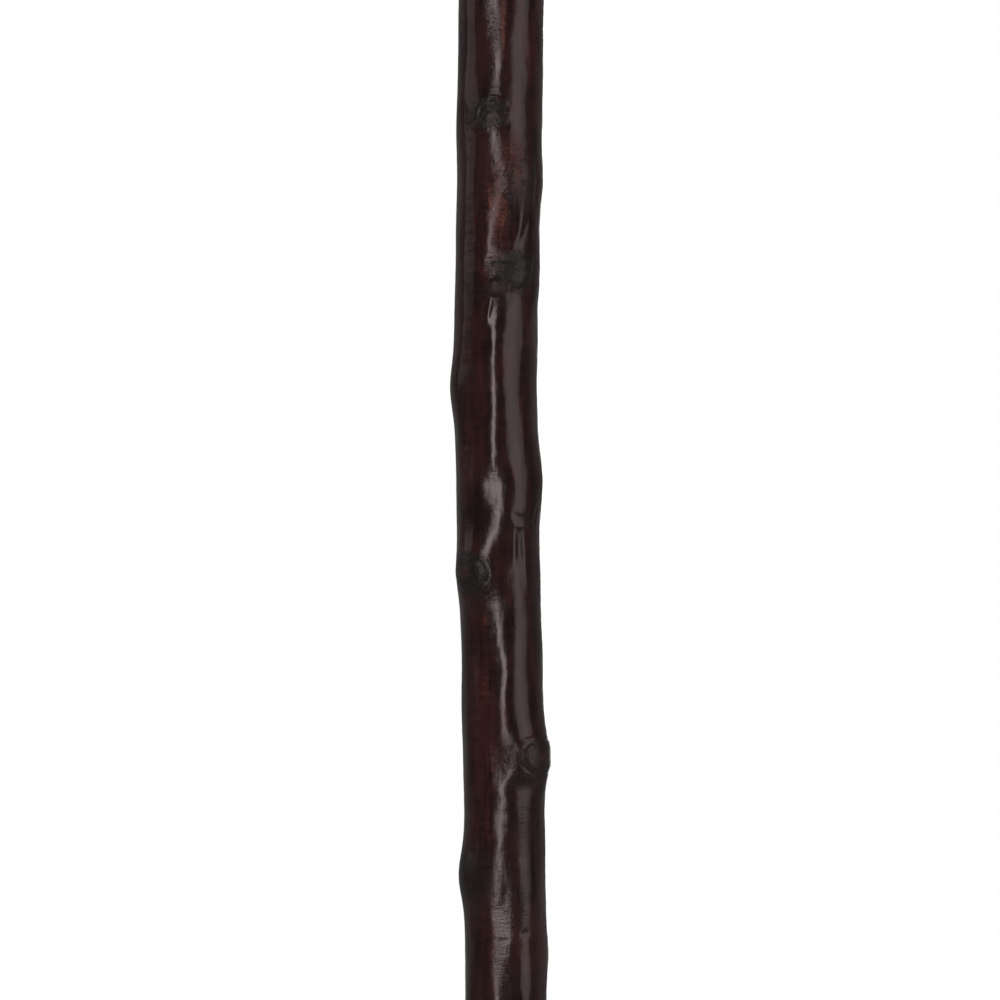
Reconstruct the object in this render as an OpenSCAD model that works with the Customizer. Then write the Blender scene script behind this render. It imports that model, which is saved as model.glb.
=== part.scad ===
// Derby walking cane: a bark-on shaft with trimmed knots, a shaped wooden grip, a brass collar over
// the joint, a steel stud inside it, and a rubber foot with its steel wear washer.
// Millimetres. The origin is the centre of the foot's ground face, +Z runs up the shaft, and the
// grip's nose points towards +X. Directions round the shaft are degrees: 0 faces -Y and 90 faces +X.

/* [Cane] */
// Height of the cane from the ground to the top of the grip
cane_h = 914; // [780:1:960]

/* [Shaft] */
// Radius of the bark just above the rubber foot
bark_foot_r = 10; // [9.8:0.1:11.5]
// Radius of the bark just below the collar
bark_top_r = 11; // [10.7:0.1:12]
// Radius of the turned tip inside the rubber foot
tip_r = 9.5; // [8:0.1:9.7]
// Radius of the turned seat inside the collar
seat_r = 10.2; // [8.5:0.1:10.4]
// Bevel round the sawn ends of the tip and the seats
end_bevel = 0.8; // [0.3:0.1:1.5]
// How far the bark's section is out of round
bark_oval = 0.2; // [0:0.05:0.5]
// Depth of the long flutes in the bark
bark_flute = 0.15; // [0:0.05:0.4]
// How far the bark is dressed down at both ends
bark_dress = 0.3; // [0:0.1:1]
// Height between one knot and the next away from the photographed stretch
knot_pitch = 29; // [20:1:60]
// How far a usual knot stands out of the bark
knot_rise = 1.4; // [0.5:0.1:2.5]

/* [Grip] */
// Height of the grip above the collar
grip_h = 45; // [40:1:52]
// How far the nose reaches in front of the shaft's axis
nose_reach = 38; // [30:1:46]
// How far the tail reaches behind the shaft's axis
tail_reach = 86; // [76:1:96]
// How far the end of the tail hangs below the middle of the palm swell
tail_drop = 23; // [16:1:27]
// Thickness of the palm swell, top to bottom
palm_t = 23; // [19:0.5:26]
// Width of the palm swell, side to side
palm_w = 27.5; // [24:0.5:32]
// Thickness of the nose
nose_t = 15.5; // [12:0.5:19]
// Width of the nose
nose_w = 19; // [15:0.5:24]
// Thickness of the tail near its end
tail_t = 18; // [14:0.5:20]
// Width of the tail near its end
tail_w = 22; // [18:0.5:26]
// How far the saddle dips below the palm swell's top
saddle_dip = 5; // [3:0.5:8]
// Radius of the neck where it stands on the collar
neck_r = 11.9; // [11.5:0.1:13]
// Radius of the hollow curve from the neck into the grip's underside
neck_flare = 16; // [12:0.5:17]

/* [Collar] */
// Height of the brass collar
collar_h = 22; // [16:1:30]
// Wall of the collar between its beads
collar_wall = 1.2; // [0.8:0.1:1.6]
// How far the beads stand out of the collar
bead_rise = 0.7; // [0.3:0.1:1.1]
// Height of each bead
bead_h = 2.4; // [1.6:0.1:3.5]
// Depth of the turned line beside each bead
line_depth = 0.35; // [0.1:0.05:0.5]
// Radial gap for glue between the collar and the wood
collar_gap = 0.1; // [0.05:0.01:0.25]

/* [Stud] */
// Radius of the threaded steel stud over its threads
stud_r = 4; // [3:0.5:5]
// Length of the stud inside the shaft
stud_in_shaft = 55; // [35:1:80]
// Length of the stud inside the grip
stud_in_grip = 34; // [24:1:38]
// Height from one thread to the next
thread_pitch = 1.25; // [1:0.25:2]
// Depth of the thread
thread_depth = 0.7; // [0.4:0.05:0.9]
// Radial gap for glue round the stud
stud_gap = 0.15; // [0.05:0.05:0.4]
// Spare depth of the drilled hole past each end of the stud
stud_spare = 1.5; // [0.5:0.5:4]

/* [Rubber foot] */
// Radius of the foot where it stands on the ground
foot_r = 17.5; // [16:0.5:20]
// Height of the straight band round the bottom of the foot
foot_band_h = 9; // [6:0.5:12]
// Bevel round the ground face
foot_bevel = 1.2; // [0.6:0.1:2]
// Height of the foot
foot_h = 46; // [40:1:54]
// Wall of the foot's socket, without its rings
socket_wall = 3.2; // [2.4:0.1:4.2]
// How far the rings and the top bead stand out of the socket
ring_rise = 0.9; // [0.4:0.1:1.4]
// Number of rings round the socket
ring_count = 4; // [2:1:5]
// Height of each ring
ring_h = 2; // [1.4:0.1:2.4]
// Height of the bead at the mouth of the socket
mouth_h = 5; // [3.5:0.5:7]
// Rubber under the washer
foot_floor = 8; // [6:0.5:11]
// Radial running gap between the tip and the socket
socket_gap = 0.05; // [0.02:0.01:0.08]
// Gap between the mouth of the foot and the shoulder of the bark
shoulder_gap = 0.5; // [0.2:0.1:2]
// Thickness of the wear washer
washer_t = 1.6; // [1:0.1:2.5]
// Radial gap round the wear washer
washer_gap = 0.2; // [0.1:0.05:0.5]
// Radius of the hole in the wear washer
washer_hole_r = 2.5; // [1.5:0.5:4]
// Depth of the grooves in the tread
tread_depth = 1.4; // [0.8:0.1:2]
// Width of the grooves in the tread
tread_w = 1.3; // [0.8:0.1:1.8]
// Distance from one tread groove to the next
tread_pitch = 3.6; // [3:0.1:4.5]

/* [Hidden] */
$fn = 96;

// Overlap that joins two solids of one piece
bite = 1;

// Levels up the cane
tip_z = foot_floor + washer_t;
bark_z0 = foot_h + shoulder_gap;
neck_z = cane_h - grip_h;
joint_z = neck_z - collar_h / 2;
bark_z1 = neck_z - collar_h;

// Resolution of the skins
bark_rings = 150;
bark_sides = 26;
grip_rings = 36;
grip_sides = 28;
flare_steps = 10;

// Length over which bends, knots and flutes die away into the round ends of the bark
ease_len = 22;

// Bends of the shaft's axis: height, shift in X, shift in Y, reach
bends = [
    [95, -0.7, -0.5, 38],
    [165, 1.2, -0.9, 48],
    [250, -0.9, 0.8, 55],
    [355, 1.45, 0.2, 70],
    [410, 0, -0.2, 18],
    [434, 0.2, 0.9, 16],
    [456, -0.4, 0.4, 14],
    [503, -1.15, 0, 35],
    [545, 0, -0.7, 45],
    [612, 0.5, 0.4, 45],
    [705, -0.9, 1.0, 55],
    [785, 0.8, -0.7, 40]
];

// Knots of the photographed stretch and of its far side: height, direction, half-width,
// half-height, and rise as a share of a usual knot's
near_knots = [
    [566, -19, 5, 6, 0.35],
    [565, -85, 8, 12, 0.25],
    [549, 33, 5.5, 6, 0.35],
    [548, 80, 7, 7, 0.3],
    [527, 27, 5, 5, 0.6],
    [526, 84, 7, 8, 0.3],
    [523, -1, 2.4, 2.6, 0.55],
    [498, -85, 7, 8, 0.75],
    [475, 79, 6, 9, 0.8],
    [469, 36, 5, 7, 0.35],
    [452, -46, 7, 7, 1.35],
    [406, 58, 7, 7, 1.75],
    [376, -74, 6.5, 7.5, 1.3],
    [583, 165, 5.5, 7, 1.0],
    [541, -148, 5, 6.5, 0.9],
    [508, 142, 6, 7, 1.1],
    [476, -165, 5, 6, 0.7],
    [436, 172, 6, 7, 1.1],
    [396, -146, 5, 6, 0.8],
    [357, 128, 6, 7, 1.0]
];

// The other knots climb the shaft in a spiral: each is turned by the golden angle
golden_turn = 137.5;
stretch_z0 = 350;
stretch_z1 = 590;
function spiral_knot(z, i) = [
    z + 5 * sin(i * 77),
    turned(i * golden_turn + 20 * sin(i * 131)),
    5.4 + 0.9 * sin(i * 53),
    6.6 + 1.2 * sin(i * 97),
    0.9 + 0.35 * sin(i * 41)
];
low_knots = [
    for (i = [0 : floor((stretch_z0 - bark_z0 - ease_len) / knot_pitch) - 1])
        spiral_knot(stretch_z0 - knot_pitch * (i + 1), i + 1)
];
high_knots = [
    for (i = [0 : floor((bark_z1 - ease_len - stretch_z1) / knot_pitch) - 1])
        spiral_knot(stretch_z1 + knot_pitch * (i + 1), i + 12)
];
knots = concat(low_knots, near_knots, high_knots);

// Angle brought between -180 and 180
function turned(a) = a - 360 * round(a / 360);

// Smooth step from 0 to 1
function smooth(t) = let (c = max(0, min(1, t))) c * c * (3 - 2 * c);

// Sum of a list of numbers or of vectors
function total(list) = [for (item = list) 1] * list;

// Bell curve: 1 at 0, near 0 past twice the reach
function bell(x, reach) = exp(-pow(x / reach, 2));

// 0 at the round ends of the bark and 1 along the rest
function inside_bark(z) = smooth(min(z - bark_z0, bark_z1 - z) / ease_len);

// Shift of the shaft's axis at a height
function axis_shift(z) =
    inside_bark(z) * total([for (b = bends) [b[1], b[2]] * bell(z - b[0], b[3])]);

// Radius of the tapered bark at a height, dressed down at the last ring of each end
function taper_r(z) =
    bark_foot_r + (bark_top_r - bark_foot_r) * (z - bark_z0) / (bark_z1 - bark_z0)
    - bark_dress * (1 - smooth(min(z - bark_z0, bark_z1 - z) / (2 * bark_dress + 0.01)));

// What all the knots add to the radius at a direction and height
function knot_lift(a, z) =
    knot_rise * total([
        for (k = knots)
            k[4] * bell(taper_r(z) * turned(a - k[1]) * PI / 180, k[2]) * bell(z - k[0], k[3])
    ]);

// Radius of the bark at a direction and height: the oval and the flutes wind slowly round the shaft
oval_start = 100;
oval_wind = 0.6;
flutes = 5;
flute_wind = -0.35;
function bark_r(a, z) =
    taper_r(z) + inside_bark(z) * (
        bark_oval * cos(2 * a + oval_wind * z + oval_start)
        + bark_flute * cos(flutes * a + flute_wind * z)
        + knot_lift(a, z)
    );

// Point of a ring round the shaft, as a direction and radius
function round_point(a, r) = [r * sin(a), -r * cos(a)];

// Point of an arc or profile in the plane of a turned part, with the angle from the outward axis
function arc_point(centre, r, a) = centre + r * [cos(a), sin(a)];

// Closed skin over rings of the same number of points, each counter-clockwise seen from above
module skin(rings) {
    sides = len(rings[0]);
    last = len(rings) - 1;
    walls = [
        for (i = [0 : last - 1], j = [0 : sides - 1])
            let (a = i * sides + j, b = i * sides + (j + 1) % sides)
                each [[a, a + sides, b], [b, a + sides, b + sides]]
    ];
    floor_cap = [[for (j = [0 : sides - 1]) j]];
    top_cap = [[for (j = [sides - 1 : -1 : 0]) last * sides + j]];
    polyhedron([for (ring = rings) each ring], concat(walls, floor_cap, top_cap), convexity = 6);
}

// Straight turned end with a bevel at its free end, drawn from the free end upwards
module turned_end(r, length) {
    cylinder(r1 = r - end_bevel, r2 = r, h = end_bevel);
    translate([0, 0, end_bevel]) cylinder(r = r, h = length - end_bevel);
}

// Bore that the stud is glued into, from one level to another
module stud_hole(z0, z1) {
    translate([0, 0, z0]) cylinder(r = stud_r + stud_gap, h = z1 - z0);
}

// The bark's rings from the foot to the collar
function bark_ring(z) = [
    for (j = [0 : bark_sides - 1])
        let (a = 360 * j / bark_sides, p = axis_shift(z) + round_point(a, bark_r(a, z)))
            [p[0], p[1], z]
];
bark_levels = [
    bark_z0,
    for (i = [0 : bark_rings]) bark_z0 + end_bevel + (bark_z1 - bark_z0 - 2 * end_bevel) * i / bark_rings,
    bark_z1
];

module shaft() {
    color([0.2, 0.09, 0.07]) difference() {
        union() {
            skin([for (z = bark_levels) bark_ring(z)]);
            translate([0, 0, tip_z]) turned_end(tip_r, bark_z0 - tip_z + bite);
            translate([0, 0, joint_z]) mirror([0, 0, 1]) turned_end(seat_r, joint_z - bark_z1 + bite);
        }
        stud_hole(joint_z - stud_in_shaft - stud_spare, joint_z + bite);
    }
}

// Stations of the grip from nose to tail, above the collar: X, Z, half-thickness, half-width
palm_z = grip_h - palm_t / 2;
saddle_t = (nose_t + palm_t) / 2;
saddle_w = 0.4 * nose_w + 0.6 * palm_w;
grip_stations = [
    [nose_reach, palm_z + 1.6, nose_t / 2, nose_w / 2],
    [nose_reach * 0.62, palm_z - 1.2, (nose_t + 1.4) / 2, (nose_w + 2) / 2],
    [nose_reach * 0.12, grip_h - saddle_dip - saddle_t / 2, saddle_t / 2, saddle_w / 2],
    [-tail_reach * 0.2, palm_z - 2.2, (palm_t - 1.2) / 2, (palm_w - 1) / 2],
    [-tail_reach * 0.46, palm_z, palm_t / 2, palm_w / 2],
    [-tail_reach * 0.7, palm_z - tail_drop * 0.17, (palm_t - 0.6) / 2, (palm_w - 0.7) / 2],
    [-tail_reach * 0.88, palm_z - tail_drop * 0.53, (tail_t + 2) / 2, (tail_w + 2) / 2],
    [-tail_reach + tail_t * 0.1, palm_z - tail_drop, tail_t / 2, tail_w / 2]
];
spans = len(grip_stations) - 1;

// Station list with its ends repeated outwards, so that the curve starts at the first station
open_stations = concat(
    [2 * grip_stations[0] - grip_stations[1]],
    grip_stations,
    [2 * grip_stations[spans] - grip_stations[spans - 1]]
);

// Smooth curve through the stations, with t from 0 at the nose to 1 at the tail
function grip_at(t) =
    let (
        i = min(spans - 1, floor(t * spans)),
        u = t * spans - i,
        a = open_stations[i],
        b = open_stations[i + 1],
        c = open_stations[i + 2],
        d = open_stations[i + 3]
    )
        b + 0.5 * u * (c - a + u * (2 * a - 5 * b + 4 * c - d + u * (3 * (b - c) + d - a)));

// How full the section is near the rounded ends of the grip, as on an ellipse
end_share = 0.075;
function fullness(t) =
    let (u = min(1, min(t, 1 - t) / end_share)) sqrt(max(0, u * (2 - u)));

// Ring of the grip, square to its curve: a rounded section a little fuller than an ellipse
section_power = 0.92;
function swelled(x) = sign(x) * pow(abs(x), section_power);
function grip_ring(t) =
    let (
        s = grip_at(t),
        ahead = grip_at(min(1, t + 0.001)) - grip_at(max(0, t - 0.001)),
        tangent = [ahead[0], ahead[1]] / norm([ahead[0], ahead[1]]),
        up = [tangent[1], -tangent[0]],
        f = fullness(t)
    )
        [
            for (j = [0 : grip_sides - 1])
                let (a = 360 * j / grip_sides, h = f * s[2] * swelled(sin(a)))
                    [s[0] + up[0] * h, -f * s[3] * swelled(cos(a)), s[1] + up[1] * h]
        ];
tip_t = 0.0012;
grip_ts = [
    for (i = [0 : grip_rings]) tip_t + (1 - 2 * tip_t) * (1 - cos(180 * i / grip_rings)) / 2
];

// Neck of the grip: round on the collar, then flared in two hollow curves into the underside. The
// rear curve ends under the palm, and the front one under the nose, which stands a little higher.
rear_z = grip_h - palm_t - 1.2;
front_z = rear_z + 2.8;
front_flare = neck_flare * 0.85;
neck_core_z = palm_z - 2;
function flare(h, top, r) = r - sqrt(max(0, r * r - pow(max(0, min(h, top) - (top - r)), 2)));
function neck_ring(h) = [
    for (j = [0 : grip_sides - 1])
        let (
            a = 360 * j / grip_sides,
            side = neck_r - 0.9 * smooth(h / neck_core_z),
            spread = cos(a) > 0 ? flare(h, front_z, front_flare) : flare(h, rear_z, neck_flare)
        )
            [(side + spread) * cos(a), side * sin(a), h]
];
neck_levels = concat(
    [0],
    [for (i = [0 : flare_steps]) rear_z - neck_flare * cos(90 * i / flare_steps)],
    [front_z, neck_core_z]
);

module grip() {
    color([0.24, 0.1, 0.07]) difference() {
        union() {
            translate([0, 0, neck_z]) skin([for (t = grip_ts) grip_ring(t)]);
            translate([0, 0, neck_z]) skin([for (h = neck_levels) neck_ring(h)]);
            translate([0, 0, joint_z]) turned_end(seat_r, neck_z - joint_z + bite);
        }
        stud_hole(joint_z - bite, joint_z + stud_in_grip + stud_spare);
    }
}

// Outline of the collar's wall: bore, two rounded beads and the turned line inside each
collar_r = seat_r + collar_gap;
collar_out_r = collar_r + collar_wall;
bead_steps = 8;
function bead(z) = [
    for (i = [0 : bead_steps])
        let (a = -90 + 180 * i / bead_steps)
            [collar_out_r + bead_rise * cos(a), z + bead_h / 2 * sin(a)]
];
line_w = 0.6;
collar_outline = concat(
    [[collar_r, 0], [collar_out_r, 0]],
    bead(bead_h / 2),
    [
        [collar_out_r - line_depth, bead_h + line_w],
        [collar_out_r, bead_h + 2 * line_w],
        [collar_out_r, collar_h - bead_h - 2 * line_w],
        [collar_out_r - line_depth, collar_h - bead_h - line_w]
    ],
    bead(collar_h - bead_h / 2),
    [[collar_out_r, collar_h], [collar_r, collar_h]]
);

module collar() {
    color([0.75, 0.58, 0.28]) translate([0, 0, bark_z1]) rotate_extrude() polygon(collar_outline);
}

// Stud with its thread drawn as rings, pointed at both ends by one bevel
stud_h = stud_in_shaft + stud_in_grip;
thread_count = floor((stud_h - 2 * thread_depth) / thread_pitch);
stud_outline = concat(
    [[0, 0], [stud_r - thread_depth, 0]],
    [
        for (i = [0 : thread_count - 1])
            let (z = thread_depth + i * thread_pitch)
                each [[stud_r - thread_depth, z], [stud_r, z + thread_pitch / 2]]
    ],
    [[stud_r - thread_depth, thread_depth + thread_count * thread_pitch]],
    [[stud_r - thread_depth, stud_h], [0, stud_h]]
);

module joining_stud() {
    color("silver") translate([0, 0, joint_z - stud_in_shaft]) rotate_extrude() polygon(stud_outline);
}

// Outline of the rubber foot: ground face, band, hollow flare, ringed socket and mouth bead
socket_r = tip_r + socket_gap;
socket_out_r = socket_r + socket_wall;
flare_r = foot_r - socket_out_r;
flare_z = foot_band_h + flare_r * 1.5;
mouth_z = foot_h - mouth_h;
foot_steps = 8;
mouth_lip = 0.8;
foot_outline = concat(
    [[0, 0], [foot_r - foot_bevel, 0], [foot_r, foot_bevel]],
    [
        for (i = [0 : foot_steps])
            let (a = 90 * i / foot_steps)
                [foot_r - flare_r * sin(a), foot_band_h + (flare_z - foot_band_h) * (1 - cos(a))]
    ],
    [[socket_out_r, mouth_z]],
    [
        for (i = [0 : foot_steps])
            let (a = -90 + 180 * i / foot_steps)
                [socket_out_r + ring_rise * cos(a), mouth_z + mouth_h / 2 * (1 + sin(a))]
    ],
    [[socket_r + mouth_lip, foot_h], [socket_r, foot_h - mouth_lip]],
    [[socket_r, foot_floor], [0, foot_floor]]
);

// Rings spread evenly along the straight part of the socket
ring_space = (mouth_z - flare_z) / (ring_count + 1);
module socket_ring(z) {
    translate([0, 0, z]) rotate_extrude() polygon([
        [socket_out_r - bite, -ring_h / 2],
        [socket_out_r, -ring_h / 2],
        [socket_out_r + ring_rise, -ring_h / 4],
        [socket_out_r + ring_rise, ring_h / 4],
        [socket_out_r, ring_h / 2],
        [socket_out_r - bite, ring_h / 2]
    ]);
}

// Round groove cut into the ground face
module tread_groove(r) {
    translate([0, 0, -bite]) difference() {
        cylinder(r = r + tread_w / 2, h = tread_depth + bite);
        translate([0, 0, -bite]) cylinder(r = r - tread_w / 2, h = tread_depth + 3 * bite);
    }
}
tread_count = floor((foot_r - foot_bevel - tread_w) / tread_pitch);

module rubber_foot() {
    color([0.07, 0.07, 0.07]) difference() {
        union() {
            rotate_extrude() polygon(foot_outline);
            for (i = [1 : ring_count]) socket_ring(flare_z + i * ring_space);
        }
        for (i = [1 : tread_count]) tread_groove(i * tread_pitch);
    }
}

module wear_washer() {
    color("silver") translate([0, 0, foot_floor]) difference() {
        cylinder(r = socket_r - washer_gap, h = washer_t);
        translate([0, 0, -bite]) cylinder(r = washer_hole_r, h = washer_t + 2 * bite);
    }
}

grip();
collar();
joining_stud();
shaft();
rubber_foot();
wear_washer();
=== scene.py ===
"""Looks of a derby walking cane.

A knotty shaft with its bark on under thick varnish, a stained and polished derby grip, a beaded
brass collar, a moulded rubber foot, and the steel stud and washer hidden inside. Sizes in the
classes are millimetres and directions round the shaft are degrees, 0 facing -Y and 90 facing +X.
Meshes are in metres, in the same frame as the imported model.
"""
import logging
import math
from dataclasses import dataclass
from enum import Enum
from functools import reduce

import bpy
import numpy as np
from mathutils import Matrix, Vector


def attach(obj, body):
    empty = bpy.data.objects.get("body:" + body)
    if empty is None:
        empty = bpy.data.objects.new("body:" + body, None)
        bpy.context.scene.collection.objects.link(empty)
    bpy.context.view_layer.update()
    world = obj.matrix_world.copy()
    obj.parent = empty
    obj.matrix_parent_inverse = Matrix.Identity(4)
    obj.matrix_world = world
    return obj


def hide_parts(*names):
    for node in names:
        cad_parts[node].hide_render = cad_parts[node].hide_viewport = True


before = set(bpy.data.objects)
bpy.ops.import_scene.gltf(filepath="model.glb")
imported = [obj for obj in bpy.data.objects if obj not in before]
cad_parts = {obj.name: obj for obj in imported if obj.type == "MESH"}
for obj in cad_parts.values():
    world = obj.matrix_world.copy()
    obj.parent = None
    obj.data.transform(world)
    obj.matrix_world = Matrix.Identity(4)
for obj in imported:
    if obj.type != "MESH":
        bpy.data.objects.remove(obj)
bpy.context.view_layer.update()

MM = 0.001
COATING_IOR = 1.5
LOG = logging.getLogger("cane")
Array = np.ndarray
Socket = bpy.types.NodeSocket
Colour = tuple[float, float, float]


# Shared shapes

def ease(t: Array) -> Array:
    """Smooth step: 0 below 0, 1 above 1 and 3t^2 - 2t^3 between."""
    c = np.clip(t, 0.0, 1.0)
    return c * c * (3.0 - 2.0 * c)


def bell(x: Array, reach: Array) -> Array:
    """Bell curve exp(-(x / reach)^2): 1 at 0 and near 0 past twice the reach."""
    return np.exp(-(x / reach) ** 2)


def band(x: Array, middle: float, half: float) -> Array:
    """Bell curve round a middle value, for rims, moats and grooves."""
    return bell(x - middle, half)


def turned(angle: Array) -> Array:
    """Angle in degrees brought between -180 and 180."""
    return angle - 360.0 * np.round(angle / 360.0)


def circle(sides: int) -> Array:
    """Directions once round, in radians, as one row."""
    return np.linspace(0.0, 2.0 * np.pi, sides, endpoint=False)[None, :]


def waves(angle: Array, z: Array, size: float, stretch: float, seed: int,
          count: int = 36, girth: float = 66.0) -> Array:
    """Uneven surface that closes round the shaft.

    It is the sum of plane waves cos(n a + k z + p), each with a whole number n of crests round the
    shaft, scaled so that its spread is 1.

    Args:
        angle: directions round the shaft, in degrees.
        z: heights, in millimetres.
        size: usual size of a lump round the shaft, in millimetres.
        stretch: how many times longer a lump is along the shaft.
        seed: number that picks the waves.
        count: how many waves are added.
        girth: length once round the shaft, in millimetres.

    Returns:
        Heights with the shape of angle and z.
    """
    rng = np.random.default_rng(seed)
    heading = rng.uniform(0.0, 2.0 * np.pi, count)
    pace = np.pi / size * rng.uniform(0.55, 1.35, count)
    crests = np.round(pace * np.cos(heading) * girth / (2.0 * np.pi))
    climb = pace * np.sin(heading) / stretch
    phase = rng.uniform(0.0, 2.0 * np.pi, count)
    total = np.zeros(np.broadcast(angle, z).shape)
    for n, k, p in zip(crests, climb, phase):
        total += np.cos(np.radians(angle) * n + k * z + p)
    return total / math.sqrt(count / 2.0)


def solid(name: str, points: Array, faces: list[Array], body: str,
          sharp_deg: float = 40.0) -> bpy.types.Object:
    """Makes a smooth-shaded mesh object at the origin that rides on a body.

    Args:
        name: name of the piece.
        points: places in millimetres, one row each.
        faces: arrays of point numbers, one row per face, outward by the right-hand rule.
        body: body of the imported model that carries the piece.
        sharp_deg: edges that bend by more than this stay sharp.

    Returns:
        The new object.
    """
    mesh = bpy.data.meshes.new(name)
    corners = np.concatenate([f.ravel() for f in faces]).astype(np.int32)
    sides = np.concatenate([np.full(len(f), f.shape[1]) for f in faces])
    mesh.vertices.add(len(points))
    mesh.vertices.foreach_set("co", (points * MM).astype(np.float32).ravel())
    mesh.loops.add(len(corners))
    mesh.loops.foreach_set("vertex_index", corners)
    mesh.polygons.add(len(sides))
    mesh.polygons.foreach_set("loop_start", (np.cumsum(sides) - sides).astype(np.int32))
    mesh.update(calc_edges=True)
    mesh.validate()
    mesh.polygons.foreach_set("use_smooth", np.ones(len(mesh.polygons), dtype=bool))
    mesh.set_sharp_from_angle(angle=math.radians(sharp_deg))
    piece = bpy.data.objects.new(name, mesh)
    bpy.context.scene.collection.objects.link(piece)
    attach(piece, body)
    return piece


def write_marks(piece: bpy.types.Object, name: str, values: Array) -> None:
    """Stores a number or a vector at every point of a piece, for its finish to read.

    Args:
        piece: the mesh object.
        name: name of the attribute.
        values: one number, or one row of three, for each point.
    """
    kind = "FLOAT" if values.ndim == 1 else "FLOAT_VECTOR"
    marks = piece.data.attributes.new(name, kind, "POINT")
    marks.data.foreach_set("value" if kind == "FLOAT" else "vector",
                           values.astype(np.float32).ravel())


def quads_between(lower: Array, upper: Array, sides: int) -> Array:
    """Quads that join each ring to another and wrap round.

    Args:
        lower: number of the first point of each lower ring.
        upper: number of the first point of the ring that it is joined to.
        sides: points in each ring.

    Returns:
        One row of four point numbers for each quad.
    """
    j = np.arange(sides)[None, :]
    nxt = (j + 1) % sides
    low, high = lower[:, None], upper[:, None]
    return np.stack([low + j, low + nxt, high + nxt, high + j], axis=-1).reshape(-1, 4)


def ring_faces(rings: int, sides: int) -> list[Array]:
    """Faces of a closed skin over rings of points, with one more point at each end.

    Quads join each ring to the next and wrap round, and a fan of triangles closes each end. They
    face outwards when the rings rise and each runs counter-clockwise seen from above.

    Args:
        rings: number of rings.
        sides: points in each ring. The two end points follow the last ring, lower end first.

    Returns:
        The quads and the triangles.
    """
    rows = np.arange(rings) * sides
    j = np.arange(sides)
    nxt = (j + 1) % sides
    low_end, high_end = rings * sides, rings * sides + 1
    fans = np.concatenate([
        np.stack([np.full(sides, low_end), nxt, j], axis=-1),
        np.stack([np.full(sides, high_end), rows[-1] + j, rows[-1] + nxt], axis=-1),
    ])
    return [quads_between(rows[:-1], rows[1:], sides), fans]


def rounded(outline: Array, radius: float, steps: int = 4) -> Array:
    """Rounds the corners of a closed outline.

    Each corner is cut back along both its sides by the radius, or by 0.45 of a shorter side, and
    the cut is bridged by a quadratic curve with the corner as its control point.

    Args:
        outline: corners of the closed outline, one row each.
        radius: how far each corner is cut back.
        steps: points along each curve, less one.

    Returns:
        The points of the rounded outline.
    """
    most = 0.45
    back = np.roll(outline, 1, axis=0) - outline
    ahead = np.roll(outline, -1, axis=0) - outline
    cut_back = np.minimum(radius / np.linalg.norm(back, axis=1), most)[:, None]
    cut_ahead = np.minimum(radius / np.linalg.norm(ahead, axis=1), most)[:, None]
    start, end = outline + back * cut_back, outline + ahead * cut_ahead
    t = np.linspace(0.0, 1.0, steps + 1)[None, :, None]
    curve = (start[:, None] * (1 - t) ** 2 + outline[:, None] * 2 * t * (1 - t)
             + end[:, None] * t ** 2)
    return curve.reshape(-1, 2)


def lathe(name: str, outline: Array, body: str, sides: int = 160,
          ridge: Array | None = None) -> bpy.types.Object:
    """Turns a closed outline about the shaft's axis.

    The outline's radius r and height z become the point [r sin a, -r cos a, z] at each direction
    a. It runs up the outside, in over the top and down the inside.

    Args:
        name: name of the piece.
        outline: radius and height of each point, one row each.
        body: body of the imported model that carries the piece.
        sides: points round the axis.
        ridge: radius added at each direction and outline point, such as a mould line.

    Returns:
        The new object.
    """
    angle = circle(sides)
    radius = outline[:, :1] + (0.0 if ridge is None else ridge)
    height = outline[:, 1:] + 0.0 * angle
    points = np.stack([radius * np.sin(angle), -radius * np.cos(angle), height], axis=-1)
    rows = np.arange(len(outline)) * sides
    quads = quads_between(rows, np.roll(rows, -1), sides)
    return solid(name, points.reshape(-1, 3), [quads], body)


# Finishes

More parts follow.
